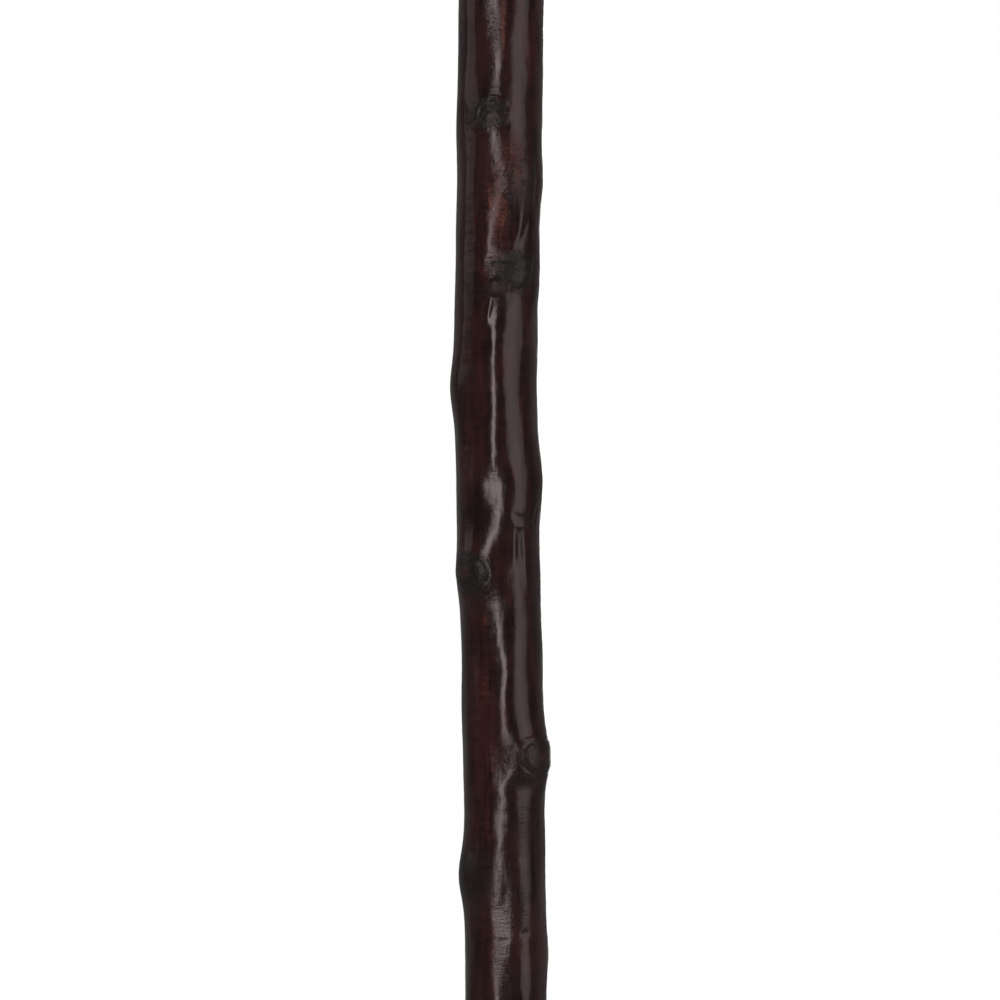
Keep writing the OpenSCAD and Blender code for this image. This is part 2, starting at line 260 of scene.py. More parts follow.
class Nodes:
    """Lays the nodes of one tree and joins them."""

    def __init__(self, tree: bpy.types.NodeTree) -> None:
        """Takes the tree that the nodes go into."""
        self.tree = tree

    def add(self, kind: str, **settings: object) -> bpy.types.Node:
        """Adds a node.

        Args:
            kind: its type.
            **settings: its properties by name.

        Returns:
            The new node.
        """
        node = self.tree.nodes.new(kind)
        for key, value in settings.items():
            setattr(node, key, value)
        return node

    def feed(self, socket: Socket, value: Socket | float | tuple) -> None:
        """Joins a socket to an input, or sets the input to a plain value.

        Args:
            socket: the input.
            value: a socket to join, or a number, a vector or a colour without its alpha.
        """
        if isinstance(value, bpy.types.NodeSocket):
            self.tree.links.new(value, socket)
        elif isinstance(value, tuple) and len(value) == 3 and socket.type == "RGBA":
            socket.default_value = (*value, 1.0)
        else:
            socket.default_value = value

    def step(self, kind: str, values: tuple, **settings: object) -> bpy.types.Node:
        """Adds a node and feeds its first inputs.

        Args:
            kind: its type.
            values: what its inputs get, in order.
            **settings: its properties by name.

        Returns:
            The new node.
        """
        node = self.add(kind, **settings)
        for socket, value in zip(node.inputs, values):
            self.feed(socket, value)
        return node

    def math(self, operation: str, *values: Socket | float) -> Socket:
        """One arithmetic step on one or two numbers."""
        return self.step("ShaderNodeMath", values, operation=operation).outputs[0]

    def vector(self, operation: str, *values: Socket | tuple) -> bpy.types.Node:
        """One arithmetic step on vectors."""
        return self.step("ShaderNodeVectorMath", values, operation=operation)

    def blend(self, share: Socket, a: Socket, b: Socket) -> Socket:
        """Blends two surfaces."""
        return self.step("ShaderNodeMixShader", (share, a, b)).outputs[0]

    def split(self, value: Socket) -> list[Socket]:
        """The X, Y and Z of a vector."""
        return list(self.step("ShaderNodeSeparateXYZ", (value,)).outputs)

    def times(self, *values: Socket | float) -> Socket:
        """Multiplies several numbers, from the first to the last."""
        return reduce(lambda a, b: self.math("MULTIPLY", a, b), values)

    def total(self, *parts: tuple[Socket, float]) -> Socket:
        """Adds several numbers, each times its own factor."""
        return reduce(lambda a, b: self.math("ADD", a, b), [self.times(*part) for part in parts])

    def span(self, value: Socket, low: float, high: float,
             out: tuple[float, float] = (0.0, 1.0)) -> Socket:
        """Smooth step of a value.

        Args:
            value: the number.
            low: where the step starts.
            high: where it ends. Below the start, the step runs the other way.
            out: results before and after the step.

        Returns:
            The result.
        """
        node = self.add("ShaderNodeMapRange", interpolation_type="SMOOTHSTEP")
        self.feed(node.inputs["Value"], value)
        for key, number in zip(("From Min", "From Max", "To Min", "To Max"), (low, high, *out)):
            node.inputs[key].default_value = number
        return node.outputs[0]

    def mix(self, share: Socket | float, a: Socket | tuple, b: Socket | tuple) -> Socket:
        """Blends two colours.

        Args:
            share: how much of the second, 0 to 1.
            a: the first colour.
            b: the second colour.

        Returns:
            The blend.
        """
        node = self.add("ShaderNodeMix", data_type="RGBA")
        for i, value in ((0, share), (6, a), (7, b)):
            self.feed(node.inputs[i], value)
        return node.outputs[2]


class Recipe(Nodes):
    """Nodes of one material with a principled surface."""

    def __init__(self, name: str) -> None:
        """Starts an empty material.

        Args:
            name: its name.
        """
        self.material = bpy.data.materials.new(name)
        self.material.use_nodes = True
        super().__init__(self.material.node_tree)
        self.surface = self.tree.nodes["Principled BSDF"]
        self.place = self.add("ShaderNodeTexCoord").outputs["Object"]

    def set(self, **inputs: Socket | float | tuple) -> None:
        """Feeds inputs of the surface, with each name's spaces written as underscores."""
        for key, value in inputs.items():
            self.feed(self.surface.inputs[key.replace("_", " ")], value)

    def mark(self, name: str, output: str = "Fac") -> Socket:
        """Reads an attribute that the mesh carries."""
        return self.add("ShaderNodeAttribute", attribute_name=name).outputs[output]

    def noise(self, size: tuple[float, float, float], detail: float = 3.0, rough: float = 0.5,
              warp: float = 0.0, place: Socket | None = None) -> Socket:
        """Soft random pattern.

        Args:
            size: size of its cells along X, Y and Z, in millimetres.
            detail: how many finer patterns are added.
            rough: strength of the finer patterns.
            warp: how much the pattern is bent.
            place: vector it is read at, in metres, if not the piece's own place.

        Returns:
            A number from 0 to 1, mostly near 0.5.
        """
        mapping = self.add("ShaderNodeMapping")
        mapping.inputs["Scale"].default_value = tuple(1.0 / (s * MM) for s in size)
        self.feed(mapping.inputs["Vector"], place or self.place)
        node = self.add("ShaderNodeTexNoise")
        self.feed(node.inputs["Vector"], mapping.outputs[0])
        for key, number in (("Scale", 1.0), ("Detail", detail), ("Roughness", rough),
                            ("Distortion", warp)):
            node.inputs[key].default_value = number
        return node.outputs[0]

    def bump(self, height_mm: Socket) -> None:
        """Tilts the surface by a height.

        Args:
            height_mm: the height, in millimetres.
        """
        node = self.add("ShaderNodeBump")
        node.inputs["Strength"].default_value = 1.0
        node.inputs["Distance"].default_value = MM
        self.feed(node.inputs["Height"], height_mm)
        self.feed(self.surface.inputs["Normal"], node.outputs[0])


@dataclass(frozen=True)
class VarnishedBark:
    """Dark red-brown bark under an uneven gloss varnish, black round its knots, with black painted
    shade along some creases, cracks and hollows.
    """
    dark: Colour = (0.0070, 0.0033, 0.0032)
    brown: Colour = (0.0195, 0.0075, 0.0066)
    red: Colour = (0.034, 0.0048, 0.0026)
    orange: Colour = (0.088, 0.020, 0.0075)
    # Black of the knots' bark, also used as painted shade in creases, cracks and hollows.
    black: Colour = (0.0055, 0.0054, 0.0050)
    scar: Colour = (0.028, 0.0095, 0.0075)
    gleam: Colour = (1.0, 0.83, 0.84)
    bare: Colour = (0.42, 0.27, 0.15)
    bare_grain: float = 0.6
    spoke_r: float = 3.4
    spoke_step: float = 1.2

    def knots(self, r: Recipe) -> tuple[Socket, Socket, Socket, Socket]:
        """Reads where each point lies in the nearest knot.

        Args:
            r: the material's nodes.

        Returns:
            Distance from the knot's heart over the size of its face, a place in metres that only
            changes round the heart and slowly outwards, and how much a trimmed and a crushed face
            count.
        """
        across, up, weight = r.split(r.mark("knot_place", "Vector"))
        flat = r.step("ShaderNodeCombineXYZ", (across, up)).outputs[0]
        away = r.vector("LENGTH", flat).outputs["Value"]
        unit = r.vector("NORMALIZE", flat).outputs[0]
        lift = r.step("ShaderNodeCombineXYZ", (0.0, 0.0, r.times(away, self.spoke_step * MM)))
        rays = r.vector("MULTIPLY_ADD", unit, (self.spoke_r * MM,) * 3, lift.outputs[0]).outputs[0]
        near = r.span(away, 1.5, 0.9)
        cut = r.times(r.math("MAXIMUM", weight, 0.0), near)
        crushed = r.times(r.math("MAXIMUM", r.times(weight, -1.0), 0.0), near)
        return away, rays, cut, crushed

    def make(self) -> bpy.types.Material:
        """Builds the material.

        Bark colour comes from streaks along the shaft, patches and cross bands, warmed and
        blackened where the mesh carries those marks; the black mark is black bark round the knots
        and painted shade along some creases, cracks, a pit and a hollow. In each knot the place
        that the mesh carries gives pleats that run out from its heart, and a scar.

        Returns:
            The material.
        """
        r = Recipe("varnished_bark")
        away, rays, cut, crushed = self.knots(r)
        warm_mark, black_and_crease_shade_mark, crinkle_mark, bare_mark = (
            r.mark(name) for name in ("warm", "black", "crinkle", "bare"))

        streaks = r.noise((1.2, 1.2, 14.0), 4.0, 0.55)
        patches = r.noise((6.0, 6.0, 15.0), 2.0, 0.5, 0.4)
        bands = r.noise((5.0, 5.0, 0.9), 3.0, 0.6)
        speck = r.noise((0.5, 0.5, 0.5), 2.0, 0.6)
        tone = r.span(r.total((streaks, 0.34), (patches, 0.4), (bands, 0.26)), 0.38, 0.62)
        colour = r.mix(tone, self.dark, self.brown)
        flecks = r.span(r.total((streaks, 0.45), (bands, 0.3), (speck, 0.25)), 0.36, 0.6)
        warm = r.math("MINIMUM", r.times(flecks, 1.5, warm_mark), 1.0)
        stray = r.times(r.span(r.noise((3.5, 3.5, 11.0), 3.0, 0.6), 0.54, 0.74), flecks)
        glow = r.mix(r.times(r.span(warm, 0.5, 1.0), r.span(speck, 0.45, 0.62)),
                     self.red, self.orange)
        colour = r.mix(r.math("MAXIMUM", warm, r.times(stray, 0.35)), colour, glow)
        # Black round the knots, and painted shade in creases, cracks and hollows, unevenly strong.
        black_and_crease_shade_mottle = r.span(r.total((bands, 0.5), (speck, 0.5)), 0.3, 0.55, (0.7, 1.0))
        colour = r.mix(r.times(black_and_crease_shade_mark, black_and_crease_shade_mottle), colour, self.black)
        ragged = r.math("ADD", away, r.total((r.noise((0.9, 0.9, 0.9), 3.0, 0.6, 0.0, rays), 0.16),
                                              (speck, 0.1), (bands, 0.08)))
        heart = r.times(cut, r.span(ragged, 0.58, 0.48))
        colour = r.mix(r.times(heart, r.span(speck, 0.4, 0.62)), colour, self.scar)
        grain = r.noise((0.35, 0.35, 9.0), 3.0, 0.6)
        shaded = tuple(self.bare_grain * c for c in self.bare)
        colour = r.mix(bare_mark, colour, r.mix(grain, shaded, self.bare))

        pleats = r.noise((0.75, 0.75, 1.5), 3.0, 0.6, 0.0, rays)
        torn = r.span(away, 0.3, 0.7, (0.2, 1.0))
        folds = r.times(r.math("SINE", r.times(ragged, 30.0)), r.span(away, 0.55, 0.85))
        wrinkle = r.noise((2.4, 2.4, 0.5), 3.0, 0.6, 0.4)
        swim = r.noise((7.0, 7.0, 13.0), 2.0, 0.45)
        ripple = r.noise((3.0, 3.0, 5.5), 2.0, 0.5)
        grit = r.noise((0.8, 0.8, 0.6), 3.0, 0.65)
        calm = r.total((swim, 0.26), (ripple, 0.075), (wrinkle, 0.04), (streaks, 0.022),
                       (grit, 0.012))
        rough = r.times(r.total((wrinkle, 0.16), (grit, 0.13)), crinkle_mark)
        knot = r.times(r.total((pleats, 0.34), (speck, 0.05)), torn, crushed)
        rings = r.times(r.total((folds, 0.03), (grit, 0.12)), cut)
        r.bump(r.math("ADD", r.math("ADD", calm, rough), r.math("ADD", knot, rings)))

        gloss = r.total((r.noise((2.5, 2.5, 6.0), 3.0), 0.1), (black_and_crease_shade_mark, 0.14), (warm, 0.2),
                        (bare_mark, 0.4))
        r.set(Base_Color=colour, Roughness=r.math("ADD", gloss, 0.11), IOR=COATING_IOR,
              Specular_Tint=self.gleam)
        return r.material


@dataclass(frozen=True)
class StainedHardwood:
    """Close-grained hardwood, stained dark and polished, with its grain along the grip."""
    light: Colour = (0.072, 0.021, 0.0105)
    dark: Colour = (0.016, 0.0062, 0.0045)

    def make(self) -> bpy.types.Material:
        """Builds the material: long bands, finer grain lines and short open pores along X.

        Returns:
            The material.
        """
        r = Recipe("stained_hardwood")
        bands = r.noise((60.0, 5.0, 3.4), 3.0, 0.55, 0.8)
        lines = r.noise((26.0, 0.8, 0.6), 4.0, 0.6, 0.3)
        pores = r.span(r.noise((3.6, 0.22, 0.2), 2.0, 0.5), 0.62, 0.72)
        tone = r.span(r.total((bands, 0.6), (lines, 0.4)), 0.36, 0.66)
        colour = r.mix(r.times(pores, 0.7), r.mix(tone, self.dark, self.light), self.dark)
        hand = r.noise((7.0, 7.0, 7.0), 2.0)
        r.bump(r.total((hand, 0.05), (lines, 0.012), (pores, -0.02)))
        sheen = r.span(r.noise((9.0, 9.0, 9.0), 3.0), 0.3, 0.7, (0.13, 0.24))
        r.set(Base_Color=colour, Roughness=sheen, IOR=COATING_IOR)
        return r.material


@dataclass(frozen=True)
class PolishedBrass:
    """Brass turned on a lathe and polished, a little tarnished in its grooves."""
    bright: Colour = (0.83, 0.62, 0.27)
    dull: Colour = (0.36, 0.22, 0.08)

    def make(self) -> bpy.types.Material:
        """Builds the material: turning lines, and tarnish where the mesh carries a groove mark.

        Returns:
            The material.
        """
        r = Recipe("polished_brass")
        turning = r.noise((40.0, 40.0, 0.09), 2.0, 0.6)
        stain = r.noise((3.0, 3.0, 2.2), 4.0, 0.65)
        tarnish = r.math("MINIMUM", r.total((r.mark("groove"), 0.9),
                                             (r.span(stain, 0.45, 0.75), 0.35)), 1.0)
        r.bump(r.total((turning, 0.006), (stain, 0.01)))
        rough = r.total((tarnish, 0.2), (turning, 0.12))
        r.set(Base_Color=r.mix(tarnish, self.bright, self.dull), Metallic=1.0,
              Roughness=r.math("ADD", rough, 0.1))
        return r.material


@dataclass(frozen=True)
class MouldedRubber:
    """Black moulded rubber with a fine matt skin, scuffed grey on its tread."""
    black: Colour = (0.017, 0.017, 0.018)
    scuffed: Colour = (0.075, 0.072, 0.068)

    def make(self) -> bpy.types.Material:
        """Builds the material: a stippled skin, dusty where the mesh carries a worn mark.

        Returns:
            The material.
        """
        r = Recipe("moulded_rubber")
        skin = r.noise((0.35, 0.35, 0.35), 3.0, 0.6)
        dust = r.noise((4.0, 4.0, 6.0), 4.0, 0.65)
        worn = r.times(r.mark("worn"), r.span(dust, 0.35, 0.6, (0.4, 1.0)))
        film = r.times(r.span(dust, 0.5, 0.75), 0.25)
        colour = r.mix(r.math("MAXIMUM", worn, film), self.black, self.scuffed)
        r.bump(r.total((skin, 0.03), (dust, 0.03)))
        matt = r.span(dust, 0.3, 0.7, (0.42, 0.56))
        r.set(Base_Color=colour, Roughness=r.total((worn, 0.25), (matt, 1.0)), IOR=COATING_IOR)
        return r.material


@dataclass(frozen=True)
class PlatedSteel:
    """Zinc-plated steel with a fine turned grain."""
    zinc: Colour = (0.62, 0.62, 0.6)
    cloudy: Colour = (0.4, 0.4, 0.42)

    def make(self) -> bpy.types.Material:
        """Builds the material: cloudy plating over a fine grain round the axis.

        Returns:
            The material.
        """
        r = Recipe("plated_steel")
        cloud = r.noise((2.5, 2.5, 2.5), 4.0, 0.6)
        grain = r.noise((8.0, 8.0, 0.12), 2.0)
        r.bump(r.total((grain, 0.006), (cloud, 0.008)))
        r.set(Base_Color=r.mix(r.span(cloud, 0.35, 0.7), self.zinc, self.cloudy), Metallic=1.0,
              Roughness=r.span(cloud, 0.3, 0.7, (0.28, 0.42)))
        return r.material


# Shaft

class KnotKind(Enum):
    """How a knot of the bark looks."""
    SWELLING = "smooth swelling over a buried branch"
    TRIMMED = "branch cut flush, with a rim and a ringed scar"
    CRUSHED = "rough bark, pleated out from the knot's heart"

    @property
    def weight(self) -> float:
        """What the finish reads for its face: 1 trimmed, -1 crushed and 0 neither."""
        return {KnotKind.TRIMMED: 1.0, KnotKind.CRUSHED: -1.0}.get(self, 0.0)


@dataclass(frozen=True)
class Knot:
    """One knot of the bark.

    Attributes:
        z: height of its middle.
        direction: direction round the shaft that it faces.
        half_width: reach of its swelling round the shaft.
        half_height: reach of its swelling along the shaft.
        rise: how far it stands out, as a share of the shaft's knot rise.
        kind: how it looks.
        face: half the width and half the height of its bare face.
        black: how black the bark on and near its face is, 0 to 1.
    """
    z: float
    direction: float
    half_width: float
    half_height: float
    rise: float
    kind: KnotKind = KnotKind.SWELLING
    face: tuple[float, float] = (4.5, 4.5)
    black: float = 0.0


@dataclass(frozen=True)
class Bend:
    """A sideways bend of the shaft: shift of its axis in X and Y round a height, and its reach."""
    z: float
    dx: float
    dy: float
    reach: float


@dataclass(frozen=True)
class Facet:
    """A long shallow facet of the side that faces the camera.

    Attributes:
        z: height of its middle.
        reach: its reach along the shaft.
        lean: degrees that it turns the surface towards -X.
        flat: how much flatter than the round it is, or below 0 how much sharper.
    """
    z: float
    reach: float
    lean: float
    flat: float = 0.0


@dataclass(frozen=True)
class Patch:
    """A patch of bark that differs: its height, direction, two reaches and strength."""
    z: float
    direction: float
    half_width: float
    half_height: float
    strength: float


@dataclass(frozen=True)
class Crease:
    """A groove or ridge in the bark.

    Attributes:
        z: height of its middle.
        direction: direction of its middle.
        length: its half-length.
        slope: degrees that it climbs, 0 round the shaft and 90 along it.
        width: its half-width.
        depth: how deep it is, or below 0 how high.
        arch: how far its middle lies above its ends.
    """
    z: float
    direction: float
    length: float
    slope: float
    width: float
    depth: float
    arch: float = 0.0


@dataclass
class Shaft:
    """The knotty shaft: tip, bark and top seat in one piece of wood.

    Attributes that a name alone leaves open:
        stretch: heights between which the knots are listed one by one.
        seen: heights between which the photograph shows the bark.
        front: middle and reach of the camera's side, in degrees.
        ring_counts: rings of the bark below, within and above the seen heights.
        shoulder_gaps: how far below the bark the last rings of the tip lie.
        stained_rings: how many of those are stained like the bark.
        spiral_offset: how many knots the upper spiral starts after the lower one.
        no_knot: place in a knot of a point that has none near.
    """
    tip_z: float = 9.6
    bark_z0: float = 46.5
    bark_z1: float = 847.0
    joint_z: float = 858.0
    tip_r: float = 9.5
    seat_r: float = 10.2
    bark_foot_r: float = 10.0
    bark_top_r: float = 11.0
    end_bevel: float = 0.8
    dress: float = 0.3
    ease_len: float = 22.0
    stud_hole_r: float = 4.15
    stud_hole_depth: float = 56.5
    oval: float = 0.2
    flute: float = 0.15
    knot_rise: float = 1.4
    knot_pitch: float = 29.0
    stretch: tuple[float, float] = (350.0, 590.0)
    seen: tuple[float, float] = (340.0, 600.0)
    front: tuple[float, float] = (-6.0, 34.0)
    sides: int = 132
    ring_counts: tuple[int, int, int] = (128, 480, 112)
    end_gap: float = 0.8
    shoulder_gaps: tuple[float, ...] = (2.5, 1.3, 0.0)
    stained_rings: int = 2
    golden_angle: float = 137.5
    spiral_offset: int = 11
    no_knot: float = 9.0
    body: str = "cane"
    bends: tuple[Bend, ...] = (
        Bend(95, -0.7, -0.5, 38), Bend(165, 1.2, -0.9, 48), Bend(250, -0.9, 0.8, 55),
        Bend(355, 1.45, 0.2, 70), Bend(410, 0, -0.2, 18), Bend(434, 0.2, 0.9, 16),
        Bend(456, -0.4, 0.4, 14), Bend(503, -1.15, 0, 35), Bend(545, 0, -0.7, 45),
        Bend(612, 0.5, 0.4, 45), Bend(705, -0.9, 1.0, 55), Bend(785, 0.8, -0.7, 40),
    )
    facets: tuple[Facet, ...] = (
        Facet(594, 9, 3.5, 0.3), Facet(579, 9, 6.5), Facet(563, 8, 6.0), Facet(551, 8, 6.0),
        Facet(508, 9, 10.0, -0.5), Facet(495, 8, 5.5, -0.4), Facet(483, 8, 4.0, -0.3),
        Facet(474, 4, 0.0, 0.5), Facet(466, 6, 4.0), Facet(452, 4, -5.0), Facet(444, 5, 2.5, 0.3),
        Facet(428, 7, 5.0), Facet(416, 7, 5.0), Facet(406, 5, 0.0, 0.5), Facet(384, 8, -3.5),
        Facet(368, 8, -5.5, 0.3), Facet(355, 9, -6.0, 0.4), Facet(344, 8, -8.0),
    )
    near_knots: tuple[Knot, ...] = (
        Knot(566, -19, 5, 6, 0.35, KnotKind.CRUSHED, (4.6, 3.6), 0.85),
        Knot(565, -85, 8, 12, 0.25),
        Knot(549, 33, 5.5, 6, 0.35, KnotKind.CRUSHED, (4.8, 5.6), 0.25),
        Knot(548, 80, 7, 7, 0.3),
        Knot(527, 27, 5, 5, 0.6, KnotKind.CRUSHED, (5.0, 4.2), 0.9),
        Knot(526, 84, 7, 8, 0.3),
        Knot(523, -1, 2.4, 2.6, 0.55, KnotKind.CRUSHED, (1.8, 2.0), 0.3),
        Knot(498, -85, 7, 8, 0.75, KnotKind.SWELLING, (3.0, 6.0), 0.5),
        Knot(475, 79, 6, 9, 0.8),
        Knot(469, 36, 5, 7, 0.35),
        Knot(452, -46, 7, 7, 1.35, KnotKind.TRIMMED, (5.8, 4.8), 0.95),
        Knot(406, 58, 7, 7, 1.75, KnotKind.TRIMMED, (6.6, 4.6), 0.6),
        Knot(376, -74, 6.5, 7.5, 1.3, KnotKind.SWELLING, (6.5, 6.5), 0.8),
        Knot(583, 165, 5.5, 7, 1.0, KnotKind.TRIMMED, (4.8, 5.0), 0.8),
        Knot(541, -148, 5, 6.5, 0.9, KnotKind.TRIMMED, (4.2, 4.4), 0.6),
        Knot(508, 142, 6, 7, 1.1, KnotKind.CRUSHED, (4.8, 5.0), 0.7),
        Knot(476, -165, 5, 6, 0.7, KnotKind.TRIMMED, (3.8, 4.2), 0.8),
        Knot(436, 172, 6, 7, 1.1, KnotKind.TRIMMED, (4.8, 4.8), 0.7),
        Knot(396, -146, 5, 6, 0.8, KnotKind.CRUSHED, (4.2, 4.4), 0.7),
        Knot(357, 128, 6, 7, 1.0, KnotKind.TRIMMED, (4.8, 4.8), 0.6),
    )
    warm_patches: tuple[Patch, ...] = (
        Patch(588, 3, 1.0, 9, 0.75), Patch(592, 25, 1.5, 5, 0.4), Patch(580, 44, 2.0, 6, 0.35),
        Patch(557, 16, 3.2, 5, 0.6), Patch(545, -12, 1.4, 8, 0.8), Patch(540, 6, 1.3, 9, 0.8),
        Patch(543, -3, 2.4, 12, 0.65), Patch(551, 20, 2.6, 4, 0.8), Patch(545, 70, 1.4, 5, 0.5),
        Patch(527.5, -20, 1.6, 3, 0.6), Patch(530, 16, 1.4, 3, 0.5), Patch(500, -21, 1.2, 12, 0.35),
        Patch(504, 14, 1.0, 3, 0.4), Patch(485, 62, 1.2, 3, 0.5), Patch(481, -45, 1.2, 4, 0.4),
        Patch(456, -35, 1.0, 1.0, 0.4), Patch(440, -22, 1.2, 2.6, 0.6),
        Patch(445, 12, 1.0, 1.5, 0.4), Patch(422, -27, 2.4, 8, 0.5), Patch(403, -16, 1.4, 9, 0.6),
        Patch(405, -32, 3.0, 9, 0.3), Patch(417, 2, 1.0, 4, 0.4), Patch(388, -21, 2.2, 8, 0.5),
        Patch(360, -17, 1.8, 10, 0.5), Patch(359, 20, 1.4, 3, 0.5), Patch(368, 66, 1.2, 12, 0.35),
        Patch(398, 32, 3.0, 2.5, 0.35),
    )
    # Black spots and lines: darker bark near some knots, and painted shade along creases, cracks, a
    # pit and a hollow.
    black_and_crease_shade_patches: tuple[Patch, ...] = (
        Patch(570, -40, 2.6, 1.6, 0.7), Patch(528.5, 2, 3.2, 1.1, 1.0),
        Patch(531, 12, 2.0, 1.6, 0.6), Patch(522, -14, 2.2, 1.2, 0.6), Patch(519, 8, 2.6, 1.0, 0.6),
        Patch(465.5, 34, 2.2, 0.7, 0.9), Patch(458, 30, 1.0, 6, 0.5), Patch(416, 15, 0.6, 1.2, 0.9),
        Patch(400, 32, 4.0, 3.5, 0.75), Patch(389, 26, 3.0, 0.35, 0.5),
        Patch(384, 28, 3.2, 0.35, 0.6), Patch(362.5, 27, 0.7, 0.6, 1.0),
        Patch(376, -45, 5.0, 7, 0.6),
    )
    crinkle_patches: tuple[Patch, ...] = (
        Patch(586, -8, 2.2, 6, 0.6), Patch(571, -6, 2.4, 5, 0.5), Patch(547, 28, 5.0, 6, 1.0),
        Patch(556, 22, 5.0, 5, 0.9), Patch(527, 16, 6.0, 5, 0.9), Patch(495, 28, 3.0, 14, 0.25),
        Patch(445, 20, 5.0, 8, 0.25), Patch(408, 6, 2.6, 4, 0.9), Patch(388, 28, 4.0, 5, 0.8),
        Patch(372, 26, 5.0, 10, 0.4), Patch(366, 24, 4.0, 5, 0.5), Patch(356, -8, 2.6, 8, 0.3),
    )
    creases: tuple[Crease, ...] = (
        Crease(541, 31, 7, 86, 1.3, -0.55), Crease(536, 34, 4, 70, 0.7, 0.25),
        Crease(465.6, 36, 2.6, 0, 0.5, 0.28, -0.6), Crease(459, 21, 4.5, 88, 0.55, -0.22),
        Crease(456, 38, 8, 94, 0.55, -0.22), Crease(463.5, 30, 2.4, 0, 0.55, -0.2, -1.2),
        Crease(458, 30, 4.0, 90, 0.9, 0.32), Crease(412.5, 52, 5.0, 5, 0.45, 0.24, 1.2),
        Crease(402.3, 50, 5.0, -4, 0.45, 0.26, -1.0), Crease(407.5, 10, 1.6, 60, 0.35, 0.15),
        Crease(408.5, 14, 1.2, -30, 0.3, 0.15), Crease(393, 28, 4.0, 3, 0.3, 0.1),
        Crease(389, 30, 4.2, -3, 0.3, 0.14), Crease(385.5, 27, 3.8, 2, 0.3, 0.1),
        Crease(381, 24, 3.4, 0, 0.3, 0.1), Crease(360.5, -4, 1.6, 0, 0.35, 0.18),
        Crease(529.5, 2, 3.0, 0, 0.6, 0.3), Crease(517, -10, 3.6, 80, 0.5, -0.16),
        Crease(362.5, 27, 0.9, 45, 0.7, 0.35), Crease(399, 34, 5.0, 10, 2.4, 0.35),
        Crease(466.5, 62, 2.2, 70, 0.6, 0.2),
    )

    def knots(self) -> list[Knot]:
        """All the knots: those of the photographed stretch, and a spiral of others above and below.

        Each knot of the spiral is turned from the last by the golden angle and a little more or
        less, and its size and rise vary in the same even manner.

        Returns:
            The knots.
        """
        kinds = (KnotKind.TRIMMED, KnotKind.CRUSHED, KnotKind.TRIMMED, KnotKind.SWELLING)

        def spiral(z: float, i: int) -> Knot:
            """One knot of the spiral.

            Args:
                z: height that it lies near.
                i: its number.

            Returns:
                The knot.
            """
            def vary(step: float) -> float:
                """A number from -1 to 1 that moves on with each knot."""
                return math.sin(math.radians(i * step))

            width, height = 5.4 + 0.9 * vary(53), 6.6 + 1.2 * vary(97)
            direction = float(turned(np.float64(i * self.golden_angle + 20 * vary(131))))
            return Knot(z + 5 * vary(77), direction, width, height, 0.9 + 0.35 * vary(41),
                        kinds[i % len(kinds)], (0.8 * width, 0.68 * height), 0.75 + 0.2 * vary(67))

        (low, high), pitch = self.stretch, self.knot_pitch
        below = int((low - self.bark_z0 - self.ease_len) // pitch)
        above = int((self.bark_z1 - self.ease_len - high) // pitch)
        return ([spiral(low - pitch * i, i) for i in range(1, below + 1)] + list(self.near_knots)
                + [spiral(high + pitch * i, i + self.spiral_offset) for i in range(1, above + 1)])

    def inside(self, z: Array) -> Array:
        """0 at the round ends of the bark and 1 along the rest."""
        return ease(np.minimum(z - self.bark_z0, self.bark_z1 - z) / self.ease_len)

    def axis(self, z: Array) -> tuple[Array, Array]:
        """Shift of the shaft's axis.

        Args:
            z: heights.

        Returns:
            The sum of the bends in X and in Y, each bend a bell along Z.
        """
        share = self.inside(z)
        return (share * sum(b.dx * bell(z - b.z, b.reach) for b in self.bends),
                share * sum(b.dy * bell(z - b.z, b.reach) for b in self.bends))

    def taper(self, z: Array) -> Array:
        """Radius of the plain tapered bark, dressed down at both ends.

        Args:
            z: heights.

        Returns:
            The radius at each height.
        """
        share = (z - self.bark_z0) / (self.bark_z1 - self.bark_z0)
        end = np.minimum(z - self.bark_z0, self.bark_z1 - z) / (2 * self.dress + 0.01)
        return (self.bark_foot_r + (self.bark_top_r - self.bark_foot_r) * share
                - self.dress * (1 - ease(end)))

    def arc(self, direction: float, angle: Array, z: Array) -> Array:
        """Distance round the shaft from a direction."""
        return self.taper(z) * np.radians(turned(angle - direction))

    def patchwork(self, patches: tuple[Patch, ...], angle: Array, z: Array) -> Array:
        """Strength of the patches, each a bell in both directions.

        Args:
            patches: the patches.
            angle: directions, in degrees.
            z: heights.

        Returns:
            The strongest one at each point.
        """
        total = np.zeros(np.broadcast(angle, z).shape)
        for p in patches:
            across, up = self.arc(p.direction, angle, z) / p.half_width, (z - p.z) / p.half_height
            total = np.maximum(total, p.strength * np.exp(-across ** 2 - up ** 2))
        return total

